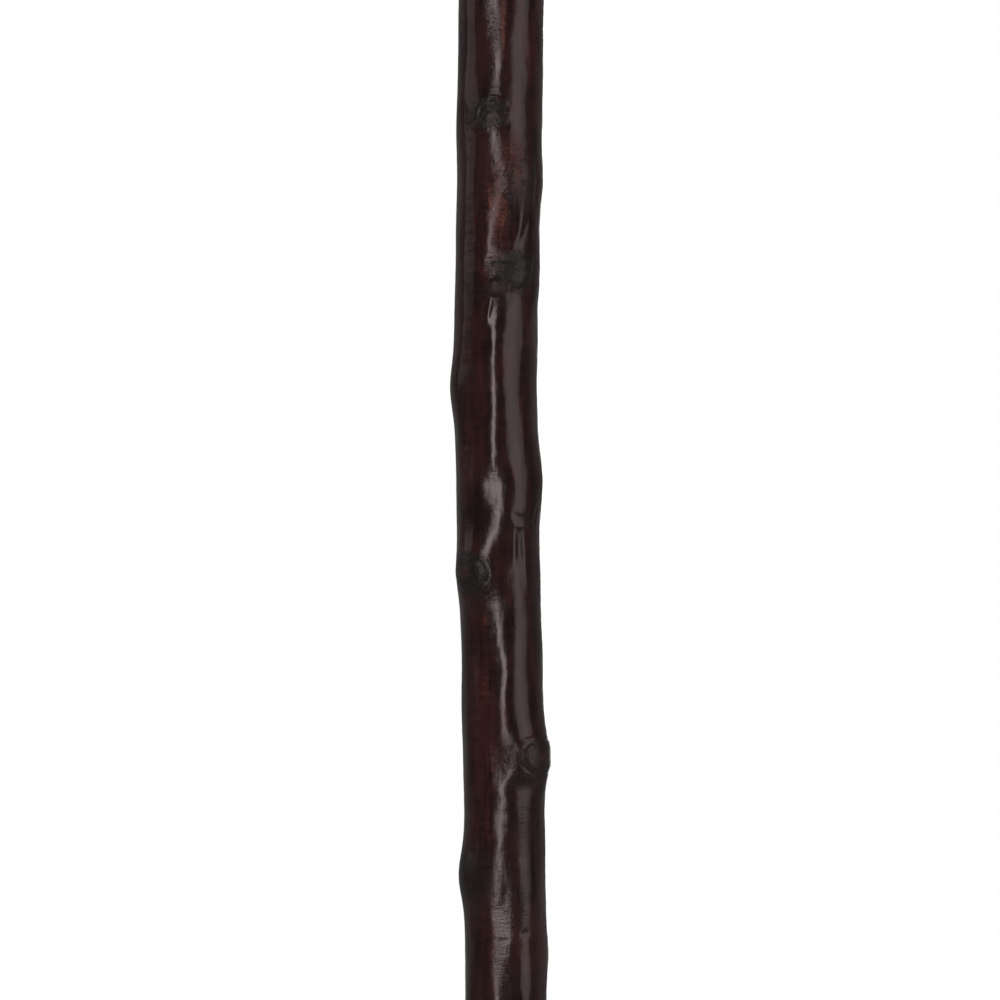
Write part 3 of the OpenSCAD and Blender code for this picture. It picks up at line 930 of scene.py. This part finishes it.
    def knot_relief(self, angle: Array, z: Array) -> Array:
        """What the knots add to the radius.

        Every knot swells as a bell. With f the distance from its heart over the size of its face,
        a trimmed one has a groove at f = 1, a rim inside it, a fine ring and a dip at its heart. A
        crushed one has uneven lumps and pleats that run out from its heart.

        Args:
            angle: directions, in degrees.
            z: heights.

        Returns:
            The added radius.
        """
        lumps = waves(angle, z, 1.5, 1.0, 5)
        total = np.zeros(np.broadcast(angle, z).shape)
        for knot in self.knots():
            arc, up = self.arc(knot.direction, angle, z), z - knot.z
            total += (knot.rise * self.knot_rise * bell(arc, knot.half_width)
                      * bell(up, knot.half_height))
            f = np.hypot(arc / knot.face[0], up / knot.face[1]) * (1 + 0.04 * lumps)
            if knot.kind is KnotKind.TRIMMED:
                total += (0.13 * band(f, 0.8, 0.13) - 0.2 * band(f, 1.0, 0.09)
                          - 0.09 * band(f, 0.4, 0.07) - 0.16 * bell(f, 0.24))
            elif knot.kind is KnotKind.CRUSHED:
                pleat = np.cos(11 * np.arctan2(up, arc) + 1.5 * lumps)
                total += (0.1 * lumps * bell(f, 0.9) + 0.06 * pleat * band(f, 0.7, 0.3)
                          - 0.12 * band(f, 1.02, 0.14) - 0.1 * bell(f, 0.3))
        return total

    def crease_relief(self, angle: Array, z: Array) -> Array:
        """What the listed grooves and ridges add to the radius.

        In a frame turned by its slope, each is a bell across its width, arched along its length
        and faded out at its ends.

        Args:
            angle: directions, in degrees.
            z: heights.

        Returns:
            The added radius.
        """
        total = np.zeros(np.broadcast(angle, z).shape)
        for c in self.creases:
            arc, up = self.arc(c.direction, angle, z), z - c.z
            cos, sin = math.cos(math.radians(c.slope)), math.sin(math.radians(c.slope))
            along, across = arc * cos + up * sin, up * cos - arc * sin
            across = across + c.arch * (along / c.length) ** 2
            total -= c.depth * bell(across, c.width) * np.exp(-(along / c.length) ** 4)
        return total

    def facet_relief(self, angle: Array, z: Array) -> Array:
        """What the facets of the camera's side add to the radius.

        In a bell-shaped window on the front, a sine wave of the direction turns the surface by
        the facet's lean, and an inverted cosine wave flattens it.

        Args:
            angle: directions, in degrees.
            z: heights.

        Returns:
            The added radius.
        """
        middle, reach = self.front
        turn = turned(angle - middle)
        lean = sum((np.radians(f.lean) * bell(z - f.z, f.reach) for f in self.facets), 0.0 * z)
        flat = sum((f.flat * bell(z - f.z, f.reach) for f in self.facets), 0.0 * z)
        wave = np.radians(4 * turn)
        tilt = lean * np.sin(wave) / 4 - flat * np.cos(wave) / 16
        return self.taper(z) * bell(turn, reach) * tilt

    def radius(self, angle: Array, z: Array) -> Array:
        """Radius of the bark: taper, oval, flutes, facets, knots, creases and fine relief.

        Args:
            angle: directions, in degrees.
            z: heights.

        Returns:
            The radius at each point.
        """
        fine = (0.065 * waves(angle, z, 9.0, 2.4, 11) + 0.042 * waves(angle, z, 5.0, 1.8, 12)
                + 0.010 * waves(angle, z, 2.2, 0.7, 13))
        return self.taper(z) + self.inside(z) * (
            self.oval * np.cos(np.radians(2 * angle + 0.6 * z + 100))
            + self.flute * np.cos(np.radians(5 * angle - 0.35 * z))
            + self.facet_relief(angle, z) + self.knot_relief(angle, z)
            + self.crease_relief(angle, z) + fine)

    def levels(self) -> Array:
        """Heights of the bark's rings.

        Returns:
            Rising heights, close together where the photograph shows the bark.
        """
        low, high = self.seen
        below, within, above = self.ring_counts
        return np.concatenate([
            [self.bark_z0],
            np.linspace(self.bark_z0 + self.end_gap, low, below, endpoint=False),
            np.linspace(low, high, within, endpoint=False),
            np.linspace(high, self.bark_z1 - self.end_gap, above),
            [self.bark_z1],
        ])

    def marks(self, angle: Array, z: Array) -> dict[str, Array]:
        """Marks that the finish reads: place in the nearest knot, warm bark, black bark with
        painted shade in creases and cracks, and crinkled bark.

        The place is the distance from the knot's heart round and along the shaft over the size of
        its face, and a weight, above 0 for a trimmed knot and below 0 for a crushed one, which
        fades out past the face and halfway to the next knot.

        Args:
            angle: directions, in degrees.
            z: heights.

        Returns:
            The marks by name, each with one row per point.
        """
        shape = np.broadcast(angle, z).shape
        first, second = np.full(shape, 1e9), np.full(shape, 1e9)
        place = np.zeros((*shape, 3))
        # Black: the knots' black bark and the black patches, some of which paint shade along
        # creases, cracks, a pit and a hollow.
        black = self.patchwork(self.black_and_crease_shade_patches, angle, z)
        for knot in self.knots():
            u = self.arc(knot.direction, angle, z) / knot.face[0]
            v = (z - knot.z) / knot.face[1] + 0 * u
            away = np.hypot(u, v)
            black = np.maximum(black, knot.black * ease((1.35 - away) / 0.5))
            cut = np.full(shape, knot.kind.weight)
            closer = away < first
            second = np.where(closer, first, np.minimum(second, away))
            place = np.where(closer[..., None], np.stack([u, v, cut], axis=-1), place)
            first = np.minimum(first, away)
        place[..., 2] *= ease((second - first) / 0.4) * ease((1.7 - first) / 0.3)
        unseen = np.maximum(ease(np.maximum(self.seen[0] - z, z - self.seen[1]) / 10),
                            ease((np.abs(turned(angle)) - 95) / 30))
        drift = np.clip(0.8 * (waves(angle, z, 7.0, 3.0, 21) - 0.8), 0, 0.8)
        rough = np.clip(0.7 * (waves(angle, z, 9.0, 1.5, 22) - 0.7), 0, 0.9)
        warm = np.maximum(self.patchwork(self.warm_patches, angle, z), drift * unseen)
        crinkle = np.maximum(self.patchwork(self.crinkle_patches, angle, z), rough * unseen)
        return {"knot_place": place.reshape(-1, 3), "warm": warm.ravel(), "black": black.ravel(),
                "crinkle": crinkle.ravel()}

    def build(self, finish: VarnishedBark) -> bpy.types.Object:
        """Builds the shaft and puts it in the place of its solid.

        A ring at each level of the bark has the points [x + R sin a, y - R cos a, z], with x, y
        the shift of the axis. Plain rings below and above make the tip, the seat and the stud's
        bore.

        Args:
            finish: the bark's finish.

        Returns:
            The new object.
        """
        angle = np.linspace(-180.0, 180.0, self.sides, endpoint=False)[None, :]
        z = self.levels()[:, None]
        radius = self.radius(angle, z)
        dx, dy = self.axis(z)
        turn = np.radians(angle)
        bark = np.stack([dx + radius * np.sin(turn), dy - radius * np.cos(turn),
                         np.broadcast_to(z, radius.shape)], axis=-1)

        def plain(rows: list[tuple[float, float]]) -> Array:
            """Round rings at the given radii and heights."""
            r, h = np.array(rows).T[:, :, None]
            return np.stack([r * np.sin(turn), -r * np.cos(turn), h + 0 * turn], axis=-1)

        hole_end = self.joint_z - self.stud_hole_depth
        tip = plain([(self.tip_r - self.end_bevel, self.tip_z),
                     (self.tip_r, self.tip_z + self.end_bevel),
                     *((self.tip_r, self.bark_z0 - gap) for gap in self.shoulder_gaps)])
        seat = plain([(self.seat_r, self.bark_z1), (self.seat_r, self.joint_z - self.end_bevel),
                      (self.seat_r - self.end_bevel, self.joint_z),
                      (self.stud_hole_r, self.joint_z), (self.stud_hole_r, hole_end)])
        rings = np.concatenate([tip, bark, seat])
        points = np.concatenate([rings.reshape(-1, 3), [[0, 0, self.tip_z]], [[0, 0, hole_end]]])
        piece = solid("shaft_bark", points, ring_faces(len(rings), self.sides), self.body, 60.0)
        before, after = tip.shape[0] * self.sides, seat.shape[0] * self.sides + 2
        for name, values in self.marks(angle, z).items():
            pad = [(before, after)] + [(0, 0)] * (values.ndim - 1)
            fill = self.no_knot if name == "knot_place" else 0.0
            write_marks(piece, name, np.pad(values, pad, constant_values=fill))
        stained = self.stained_rings * self.sides
        varnished = np.zeros(bark.shape[0] * self.sides + stained)
        bare = np.pad(varnished, (before - stained, after), constant_values=1.0)
        write_marks(piece, "bare", bare)
        piece.data.materials.append(finish.make())
        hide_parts("shaft")
        return piece


# Grip

@dataclass
class Grip:
    """The derby grip: palm swell, drooping tail, saddle, short nose and round neck.

    Attributes that a name alone leaves open:
        end_share: share of the handle's length over which each end closes.
        join_h, join_reach: height above the collar and reach of the join that is rounded.
        join_x, join_half, join_fade: middle of the join, its half-length and its fade, along X.
        seat_keep: height above the collar and length over which smoothing sets in.
        smoothings, all_over: rounds of smoothing, and how many of them smooth the whole skin.
        smooth_share: how far a point moves to the mean of its neighbours in a round.
    """
    neck_z: float = 869.0
    joint_z: float = 858.0
    grip_h: float = 45.0
    nose_reach: float = 38.0
    tail_reach: float = 86.0
    tail_drop: float = 23.0
    palm_t: float = 23.0
    palm_w: float = 27.5
    nose_t: float = 15.5
    nose_w: float = 19.0
    tail_t: float = 18.0
    tail_w: float = 22.0
    saddle_dip: float = 5.0
    neck_r: float = 11.9
    neck_flare: float = 16.0
    seat_r: float = 10.2
    end_bevel: float = 0.8
    section_power: float = 0.92
    end_share: float = 0.075
    voxel: float = 0.55
    rings: int = 90
    sides: int = 72
    seat_overlap: float = 2.0
    join_h: float = 22.0
    join_reach: float = 7.0
    join_x: float = -2.0
    join_half: float = 34.0
    join_fade: float = 10.0
    seat_keep: tuple[float, float] = (0.6, 1.5)
    smoothings: int = 90
    all_over: int = 6
    smooth_share: float = 0.5
    body: str = "cane"

    def stations(self) -> Array:
        """Stations of the handle.

        Returns:
            From nose to tail, X, Z above the collar, half-thickness and half-width.
        """
        palm_z = self.grip_h - self.palm_t / 2
        saddle_x = self.nose_reach * 0.12
        saddle_t = (self.nose_t + self.palm_t) / 2
        saddle_w = 0.4 * self.nose_w + 0.6 * self.palm_w
        reach = self.tail_reach
        return np.array([
            [self.nose_reach, palm_z + 1.6, self.nose_t / 2, self.nose_w / 2],
            [self.nose_reach * 0.62, palm_z - 1.2, (self.nose_t + 1.4) / 2, (self.nose_w + 2) / 2],
            [saddle_x, self.grip_h - self.saddle_dip - saddle_t / 2, saddle_t / 2, saddle_w / 2],
            [-reach * 0.2, palm_z - 2.2, (self.palm_t - 1.2) / 2, (self.palm_w - 1) / 2],
            [-reach * 0.46, palm_z, self.palm_t / 2, self.palm_w / 2],
            [-reach * 0.7, palm_z - self.tail_drop * 0.17,
             (self.palm_t - 0.6) / 2, (self.palm_w - 0.7) / 2],
            [-reach * 0.88, palm_z - self.tail_drop * 0.53,
             (self.tail_t + 2) / 2, (self.tail_w + 2) / 2],
            [-reach + self.tail_t * 0.1, palm_z - self.tail_drop, self.tail_t / 2, self.tail_w / 2],
        ])

    def curve(self, t: Array) -> Array:
        """Smooth curve through the stations, by cubic spans that share their slopes.

        Args:
            t: places along it, 0 at the nose and 1 at the tail.

        Returns:
            One row of X, Z, half-thickness and half-width for each place.
        """
        s = self.stations()
        spans = len(s) - 1
        s = np.concatenate([[2 * s[0] - s[1]], s, [2 * s[-1] - s[-2]]])
        i = np.minimum(spans - 1, np.floor(t * spans)).astype(int)
        u = (t * spans - i)[:, None]
        a, b, c, d = s[i], s[i + 1], s[i + 2], s[i + 3]
        return b + 0.5 * u * (c - a + u * (2 * a - 5 * b + 4 * c - d + u * (3 * (b - c) + d - a)))

    def handle_rings(self) -> Array:
        """Rings of the handle, square to its curve.

        Each is a full oval |sin|^p, |cos|^p scaled to the station's thickness and width, and
        shrinks to the ends as an ellipse does.

        Returns:
            Points as rings by sides by three.
        """
        def full_round(x: Array) -> Array:
            """A sine or cosine raised to the section's power, with its sign kept."""
            return np.sign(x) * np.abs(x) ** self.section_power

        tip = 0.0008
        t = tip + (1 - 2 * tip) * (1 - np.cos(np.linspace(0, np.pi, self.rings))) / 2
        s = self.curve(t)
        ahead = self.curve(np.minimum(1, t + 0.001)) - self.curve(np.maximum(0, t - 0.001))
        ahead = ahead[:, :2] / np.linalg.norm(ahead[:, :2], axis=1, keepdims=True)
        up_x, up_z = ahead[:, 1:2], -ahead[:, 0:1]
        u = np.minimum(1, np.minimum(t, 1 - t) / self.end_share)
        full = np.sqrt(np.maximum(0, u * (2 - u)))[:, None]
        a = circle(self.sides)
        h = full * s[:, 2:3] * full_round(np.sin(a))
        w = full * s[:, 3:4] * full_round(np.cos(a))
        return np.stack([s[:, 0:1] + up_x * h, -w, self.neck_z + s[:, 1:2] + up_z * h], axis=-1)

    def neck_rings(self) -> Array:
        """Rings of the neck: round on the collar, flared front and rear by quarter circles.

        Returns:
            Points as rings by sides by three.
        """
        palm_z = self.grip_h - self.palm_t / 2
        rear_z = self.grip_h - self.palm_t - 1.2
        front_z, core_z, front_flare = rear_z + 2.8, palm_z - 2, self.neck_flare * 0.85

        def flare(h: Array, top: float, r: float) -> Array:
            """How far a quarter circle of radius r that ends at the top spreads at height h."""
            rise = np.maximum(0, np.minimum(h, top) - (top - r))
            return r - np.sqrt(np.maximum(0, r * r - rise ** 2))

        h = np.concatenate([np.linspace(0, rear_z, 40), [front_z, core_z]])[:, None]
        a = circle(self.sides)
        side = self.neck_r - 0.9 * ease(h / core_z)
        spread = np.where(np.cos(a) > 0, flare(h, front_z, front_flare),
                          flare(h, rear_z, self.neck_flare))
        return np.stack([(side + spread) * np.cos(a), side * np.sin(a),
                         self.neck_z + h + 0 * a], axis=-1)

    def seat_rings(self) -> Array:
        """Rings of the turned seat inside the collar, with a bevel at its end.

        Returns:
            Points as rings by sides by three.
        """
        rows = np.array([[self.seat_r - self.end_bevel, self.joint_z],
                         [self.seat_r, self.joint_z + self.end_bevel],
                         [self.seat_r, self.neck_z + self.seat_overlap]])
        r, z, a = rows[:, :1], rows[:, 1:], circle(self.sides)
        return np.stack([r * np.cos(a), r * np.sin(a), z + 0 * a], axis=-1)

    def blended(self, rough: bpy.types.Object) -> tuple[Array, Array]:
        """Fuses the overlapping skins into one, and rounds the join of neck and handle.

        The skins are remeshed on a fine grid. Each point then moves part of the way to the mean
        of its neighbours, many times, by a share that is high at the join and low elsewhere.

        Args:
            rough: object with the overlapping closed skins.

        Returns:
            Points in millimetres and quads.
        """
        cut = rough.modifiers.new("fuse", "REMESH")
        cut.mode = "VOXEL"
        cut.voxel_size = self.voxel * MM
        graph = bpy.context.evaluated_depsgraph_get()
        fused = bpy.data.meshes.new_from_object(rough.evaluated_get(graph))
        points = np.empty(len(fused.vertices) * 3)
        fused.vertices.foreach_get("co", points)
        points = points.reshape(-1, 3) / MM
        edges = np.empty(len(fused.edges) * 2, dtype=np.int32)
        fused.edges.foreach_get("vertices", edges)
        a, b = edges.reshape(-1, 2).T
        quads = np.empty(len(fused.loops), dtype=np.int32)
        fused.loops.foreach_get("vertex_index", quads)
        degree = np.bincount(a, minlength=len(points)) + np.bincount(b, minlength=len(points))
        h = points[:, 2] - self.neck_z
        along = np.abs(points[:, 0] - self.join_x)
        join = (bell(h - self.join_h, self.join_reach)
                * ease((self.join_half - along) / self.join_fade))
        keep_from, keep_len = self.seat_keep
        keep_seat = ease((h - keep_from) / keep_len)
        for step in range(self.smoothings):
            share = self.smooth_share * (1.0 if step < self.all_over else join) * keep_seat
            pull = np.stack([np.bincount(a, points[b, k], len(points))
                             + np.bincount(b, points[a, k], len(points))
                             for k in range(3)], axis=-1) / degree[:, None] - points
            points = points + pull * share[:, None]
        bpy.data.meshes.remove(fused)
        return points, quads.reshape(-1, 4)

    def build(self, finish: StainedHardwood) -> bpy.types.Object:
        """Builds the grip and puts it in the place of its solid.

        Args:
            finish: the wood's finish.

        Returns:
            The new object.
        """
        points, faces, start = [], [], 0
        for rings in (self.handle_rings(), self.neck_rings(), self.seat_rings()):
            count, sides = rings.shape[:2]
            ends = [rings[0].mean(axis=0), rings[-1].mean(axis=0)]
            points.append(np.concatenate([rings.reshape(-1, 3), ends]))
            faces += [f + start for f in ring_faces(count, sides)]
            start += len(points[-1])
        rough = solid("grip_rough", np.concatenate(points), faces, self.body)
        skin, quads = self.blended(rough)
        bpy.data.meshes.remove(rough.data)
        piece = solid("grip_wood", skin, [quads], self.body, 50.0)
        piece.data.materials.append(finish.make())
        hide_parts("grip")
        return piece


# Collar, foot and hidden fittings

@dataclass
class Collar:
    """The brass collar over the joint: a tube with a bead and two turned lines at each end."""
    z0: float = 847.0
    height: float = 22.0
    bore_r: float = 10.3
    wall: float = 1.2
    bead_rise: float = 0.7
    bead_h: float = 2.4
    line_depth: float = 0.3
    line_w: float = 0.45
    line_gaps: tuple[float, ...] = (0.8, 2.0)
    sides: int = 192
    body: str = "cane"

    def outline(self) -> tuple[Array, Array]:
        """Outline of the wall, lower half first and mirrored for the upper one.

        Returns:
            Radius and height of each point, and how deep in a groove it lies, 0 to 1.
        """
        outer, top = self.bore_r + self.wall, self.height
        a = np.radians(np.linspace(-90, 90, 17))
        bead = np.stack([outer + self.bead_rise * np.cos(a),
                         self.bead_h / 2 * (1 + np.sin(a))], axis=-1)
        z = self.bead_h + 0.25 + np.arange(0, 2.3, 0.1)
        depth = self.line_depth * sum(band(z, self.bead_h + gap, self.line_w / 2)
                                      for gap in self.line_gaps)
        lines = np.stack([outer - depth, z], axis=-1)
        lower = np.concatenate([bead, lines])
        upper = lower[::-1] * [1, -1] + [0, top]
        inner = np.array([[self.bore_r, top], [self.bore_r, 0.0]])
        outline = np.concatenate([lower, upper, inner]) + [0, self.z0]
        low_mark = np.concatenate([band(bead[:, 1], self.bead_h, 0.3),
                                   np.clip(depth / self.line_depth, 0, 1)])
        return outline, np.concatenate([low_mark, low_mark[::-1], [0, 0]])

    def build(self, finish: PolishedBrass) -> bpy.types.Object:
        """Turns the collar and puts it in the place of its solid.

        Args:
            finish: the brass finish.

        Returns:
            The new object.
        """
        outline, groove = self.outline()
        piece = lathe("collar_brass", outline, self.body, self.sides)
        write_marks(piece, "groove", np.repeat(groove, self.sides))
        piece.data.materials.append(finish.make())
        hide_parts("collar")
        return piece


@dataclass
class RubberFoot:
    """The rubber foot: grooved tread, straight band, hollow flare, ringed socket and mouth bead."""
    foot_r: float = 17.5
    band_h: float = 9.0
    height: float = 46.0
    bevel: float = 1.2
    floor: float = 8.0
    socket_r: float = 9.55
    socket_wall: float = 3.2
    ring_rise: float = 0.9
    ring_h: float = 2.0
    ring_count: int = 4
    mouth_h: float = 5.0
    mouth_lip: float = 0.8
    tread_depth: float = 1.4
    tread_w: float = 1.3
    tread_pitch: float = 3.6
    tread_count: int = 4
    tread_draft: float = 0.15
    flare_slope: float = 1.5
    hub_r: float = 0.02
    seam_rise: float = 0.12
    seam_deg: float = 1.6
    sides: int = 192
    body: str = "foot"

    def outline(self) -> Array:
        """Outline from the middle of the tread outwards, up the outside and down the socket.

        Returns:
            Radius and height of each point.
        """
        def steps(middles: Array, half: float, flat: float, base: float, rise: float) -> Array:
            """Raised or sunk steps on a line.

            Args:
                middles: places of their middles along the line.
                half: half-length of each step at its foot.
                flat: half-length of its flat top.
                base: distance of the line.
                rise: how far the steps stand out from it.

            Returns:
                Place along the line and distance, four points for each step.
            """
            along = middles[:, None] + np.array([-half, -flat, flat, half])
            return np.stack([along, base + rise * np.array([0, 1, 1, 0]) + 0 * along],
                            axis=-1).reshape(-1, 2)

        half = self.tread_w / 2
        grooves = steps(self.tread_pitch * np.arange(1, self.tread_count + 1),
                        half, half - self.tread_draft, 0.0, self.tread_depth)
        out_r = self.socket_r + self.socket_wall
        flare = self.foot_r - out_r
        a = np.radians(np.linspace(0, 90, 14))
        sweep = np.stack([self.foot_r - flare * np.sin(a),
                          self.band_h + flare * self.flare_slope * (1 - np.cos(a))], axis=-1)
        mouth_z = self.height - self.mouth_h
        gap = (mouth_z - sweep[-1, 1]) / (self.ring_count + 1)
        rings = steps(sweep[-1, 1] + gap * np.arange(1, self.ring_count + 1),
                      self.ring_h / 2, self.ring_h / 4, out_r, self.ring_rise)[:, ::-1]
        b = np.radians(np.linspace(-90, 90, 11))
        mouth = np.stack([out_r + self.ring_rise * np.cos(b),
                          mouth_z + self.mouth_h / 2 * (1 + np.sin(b))], axis=-1)
        return np.array([
            (self.hub_r, self.floor), (self.hub_r, 0.0), *grooves,
            (self.foot_r - self.bevel, 0.0), (self.foot_r, self.bevel), *sweep, *rings, *mouth,
            (self.socket_r + self.mouth_lip, self.height),
            (self.socket_r, self.height - self.mouth_lip), (self.socket_r, self.floor)])

    def build(self, finish: MouldedRubber) -> bpy.types.Object:
        """Turns the foot, with the fine line that the two halves of its mould leave on each side.

        Args:
            finish: the rubber's finish.

        Returns:
            The new object.
        """
        outline = rounded(self.outline(), 0.3, 3)
        angle = np.linspace(0, 360, self.sides, endpoint=False)[None, :]
        seam = bell(turned(angle - 90), self.seam_deg) + bell(turned(angle + 90), self.seam_deg)
        outside = (outline[:, 0] > self.socket_r + 1.2) & (outline[:, 1] > 0.6)
        piece = lathe("foot_rubber", outline, self.body, self.sides,
                      self.seam_rise * seam * outside[:, None])
        worn = ease((1.6 - outline[:, 1]) / 1.4)
        write_marks(piece, "worn", np.repeat(worn, self.sides))
        piece.data.materials.append(finish.make())
        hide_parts("rubber_foot")
        return piece


@dataclass
class HiddenFittings:
    """The steel stud in the joint and the steel washer in the foot, whose solids are kept."""
    nodes: tuple[str, ...] = ("joining_stud", "wear_washer")

    def dress(self, finish: PlatedSteel) -> list[bpy.types.Object]:
        """Gives the kept solids their plated finish.

        Args:
            finish: the steel's finish.

        Returns:
            The solids.
        """
        steel = finish.make()
        pieces = [bpy.data.objects[name] for name in self.nodes]
        for piece in pieces:
            piece.data.materials.clear()
            piece.data.materials.append(steel)
        return pieces


# Studio

@dataclass(frozen=True)
class Softbox:
    """A tall soft light that faces the shaft.

    Attributes:
        name: its name.
        azimuth: where it stands round the cane, 0 on the camera's side and 90 on +X.
        distance: how far it stands from the shaft, in metres.
        width: its width, in metres.
        height: its height, in metres.
        middle: height of its middle, in metres.
        brightness: light that each bit of it gives, against 1 for white paper.
    """
    name: str
    azimuth: float
    distance: float
    width: float
    height: float
    middle: float
    brightness: float

    def build(self) -> bpy.types.Object:
        """Hangs the light, turned towards the shaft. Its power is brightness x area x pi.

        Returns:
            The light.
        """
        light = bpy.data.lights.new(self.name, "AREA")
        light.shape = "RECTANGLE"
        light.size, light.size_y = self.width, self.height
        light.energy = self.brightness * self.width * self.height * math.pi
        lamp = bpy.data.objects.new(self.name, light)
        a = math.radians(self.azimuth)
        lamp.location = (self.distance * math.sin(a), -self.distance * math.cos(a), self.middle)
        outward = Vector((lamp.location.x, lamp.location.y, 0.0))
        lamp.rotation_euler = outward.to_track_quat("Z", "Y").to_euler()
        lamp.visible_camera = False
        bpy.context.scene.collection.objects.link(lamp)
        return lamp


@dataclass
class Studio:
    """White paper studio: camera, floor, surroundings and softboxes.

    Attributes that a name alone leaves open:
        view_width: width of the picture at the shaft, in metres.
        floor_rings: radii of the floor's inner rings, in metres.
        floor_gap: how far the floor lies below the ground, in metres.
        floor_fade: distances from the cane between which the paper turns white.
        floor_gloss: brightness of the floor in reflections.
        gloss: brightness of the surroundings in reflections, on the near and the far side.
        gloss_rise: Y of the direction at which it starts and ends rising.
    """
    lens: float = 200.0
    sensor: float = 36.0
    view_width: float = 0.25
    view_height: float = 0.47
    floor_rings: tuple[float, ...] = (0.001, 0.05, 0.15, 0.4, 0.8, 1.4, 2.0, 2.6)
    floor_sides: int = 96
    floor_gap: float = 0.0002
    floor_fade: tuple[float, float] = (0.35, 1.9)
    floor_gloss: float = 0.12
    paper_grey: float = 0.86
    gloss: tuple[float, float] = (0.04, 0.14)
    gloss_rise: tuple[float, float] = (0.1, 0.95)
    softboxes: tuple[Softbox, ...] = (
        Softbox("key_strip", -12.6, 2.0, 0.36, 1.35, 0.64, 5.0),
        Softbox("broad_panel", 55.0, 1.7, 1.5, 1.35, 0.64, 0.8),
        Softbox("broad_core", 50.0, 1.6, 0.8, 1.2, 0.62, 0.45),
        Softbox("left_panel", -87.0, 1.7, 1.4, 1.4, 1.28, 0.5),
        Softbox("back_strip", 170.0, 2.0, 0.5, 1.9, 1.0, 3.0),
    )

    def camera(self) -> bpy.types.Object:
        """Sets the camera level with the photographed stretch, looking along +Y.

        Returns:
            The camera.
        """
        data = bpy.data.cameras.new("photo_camera")
        data.lens, data.sensor_width = self.lens, self.sensor
        camera = bpy.data.objects.new("photo_camera", data)
        camera.location = (0.0, -self.view_width * self.lens / self.sensor, self.view_height)
        camera.rotation_euler = (math.pi / 2, 0.0, 0.0)
        bpy.context.scene.collection.objects.link(camera)
        bpy.context.scene.camera = camera
        return camera

    def floor(self) -> bpy.types.Object:
        """Lays a round floor of pale paper.

        Returns:
            The floor.
        """
        r, a = np.array(self.floor_rings)[:, None], circle(self.floor_sides)
        points = np.stack([r * np.cos(a), r * np.sin(a), 0 * r * a], axis=-1).reshape(-1, 3)
        rows = np.arange(len(r)) * self.floor_sides
        quads = quads_between(rows[1:], rows[:-1], self.floor_sides)
        mesh = bpy.data.meshes.new("paper_floor")
        mesh.from_pydata(points.tolist(), [], quads.tolist() + [list(range(self.floor_sides))])
        mesh.update()
        floor = bpy.data.objects.new("paper_floor", mesh)
        floor.location.z = -self.floor_gap
        bpy.context.scene.collection.objects.link(floor)
        mesh.materials.append(self.paper())
        return floor

    def paper(self) -> bpy.types.Material:
        """Builds the floor's paper.

        It fades to white away from the cane, is dim in reflections and clear from below.

        Returns:
            The material.
        """
        r = Recipe("pale_paper")
        r.set(Base_Color=(self.paper_grey,) * 3, Roughness=0.85, Specular_IOR_Level=0.15)
        white = r.add("ShaderNodeEmission").outputs[0]
        dim = r.step("ShaderNodeEmission", ((self.floor_gloss,) * 3,)).outputs[0]
        fade = r.span(r.vector("LENGTH", r.place).outputs["Value"], *self.floor_fade)
        seen = r.blend(fade, r.surface.outputs[0], white)
        mirrored = r.blend(r.add("ShaderNodeLightPath").outputs["Is Glossy Ray"], seen, dim)
        below = r.add("ShaderNodeNewGeometry").outputs["Backfacing"]
        sheet = r.blend(below, mirrored, r.add("ShaderNodeBsdfTransparent").outputs[0])
        r.feed(r.tree.nodes["Material Output"].inputs["Surface"], sheet)
        return r.material

    def surroundings(self) -> None:
        """White paper all round, which gloss sees as dim in front and brighter behind.

        The world is white where it is looked at or lights a matt surface. In reflections its
        brightness rises from the camera's side to the far side.
        """
        world = bpy.data.worlds.new("white_studio")
        bpy.context.scene.world = world
        world.use_nodes = True
        n = Nodes(world.node_tree)
        white = n.tree.nodes["Background"]
        white.inputs[0].default_value = (1.0, 1.0, 1.0, 1.0)
        away = n.split(n.add("ShaderNodeTexCoord").outputs["Generated"])[1]
        dim = n.step("ShaderNodeBackground", (n.span(away, *self.gloss_rise, self.gloss),))
        mirrored = n.add("ShaderNodeLightPath").outputs["Is Glossy Ray"]
        n.feed(n.tree.nodes["World Output"].inputs["Surface"],
               n.blend(mirrored, white.outputs[0], dim.outputs[0]))

    def build(self) -> None:
        """Sets the camera, the floor, the surroundings, the softboxes and plain colours."""
        self.camera()
        self.floor()
        self.surroundings()
        for softbox in self.softboxes:
            softbox.build()
        bpy.context.scene.view_settings.view_transform = "Standard"
        bpy.context.scene.view_settings.look = "None"


def main() -> None:
    """Builds the studio and every piece of the cane."""
    logging.basicConfig(level=logging.INFO, format="%(name)s: %(message)s")
    Studio().build()
    LOG.info("studio ready")
    pieces = [
        Shaft().build(VarnishedBark()),
        Grip().build(StainedHardwood()),
        Collar().build(PolishedBrass()),
        RubberFoot().build(MouldedRubber()),
        *HiddenFittings().dress(PlatedSteel()),
    ]
    for piece in pieces:
        LOG.info("%s: %d points, %d faces", piece.name, len(piece.data.vertices),
                 len(piece.data.polygons))


if __name__ == "__main__":
    main()
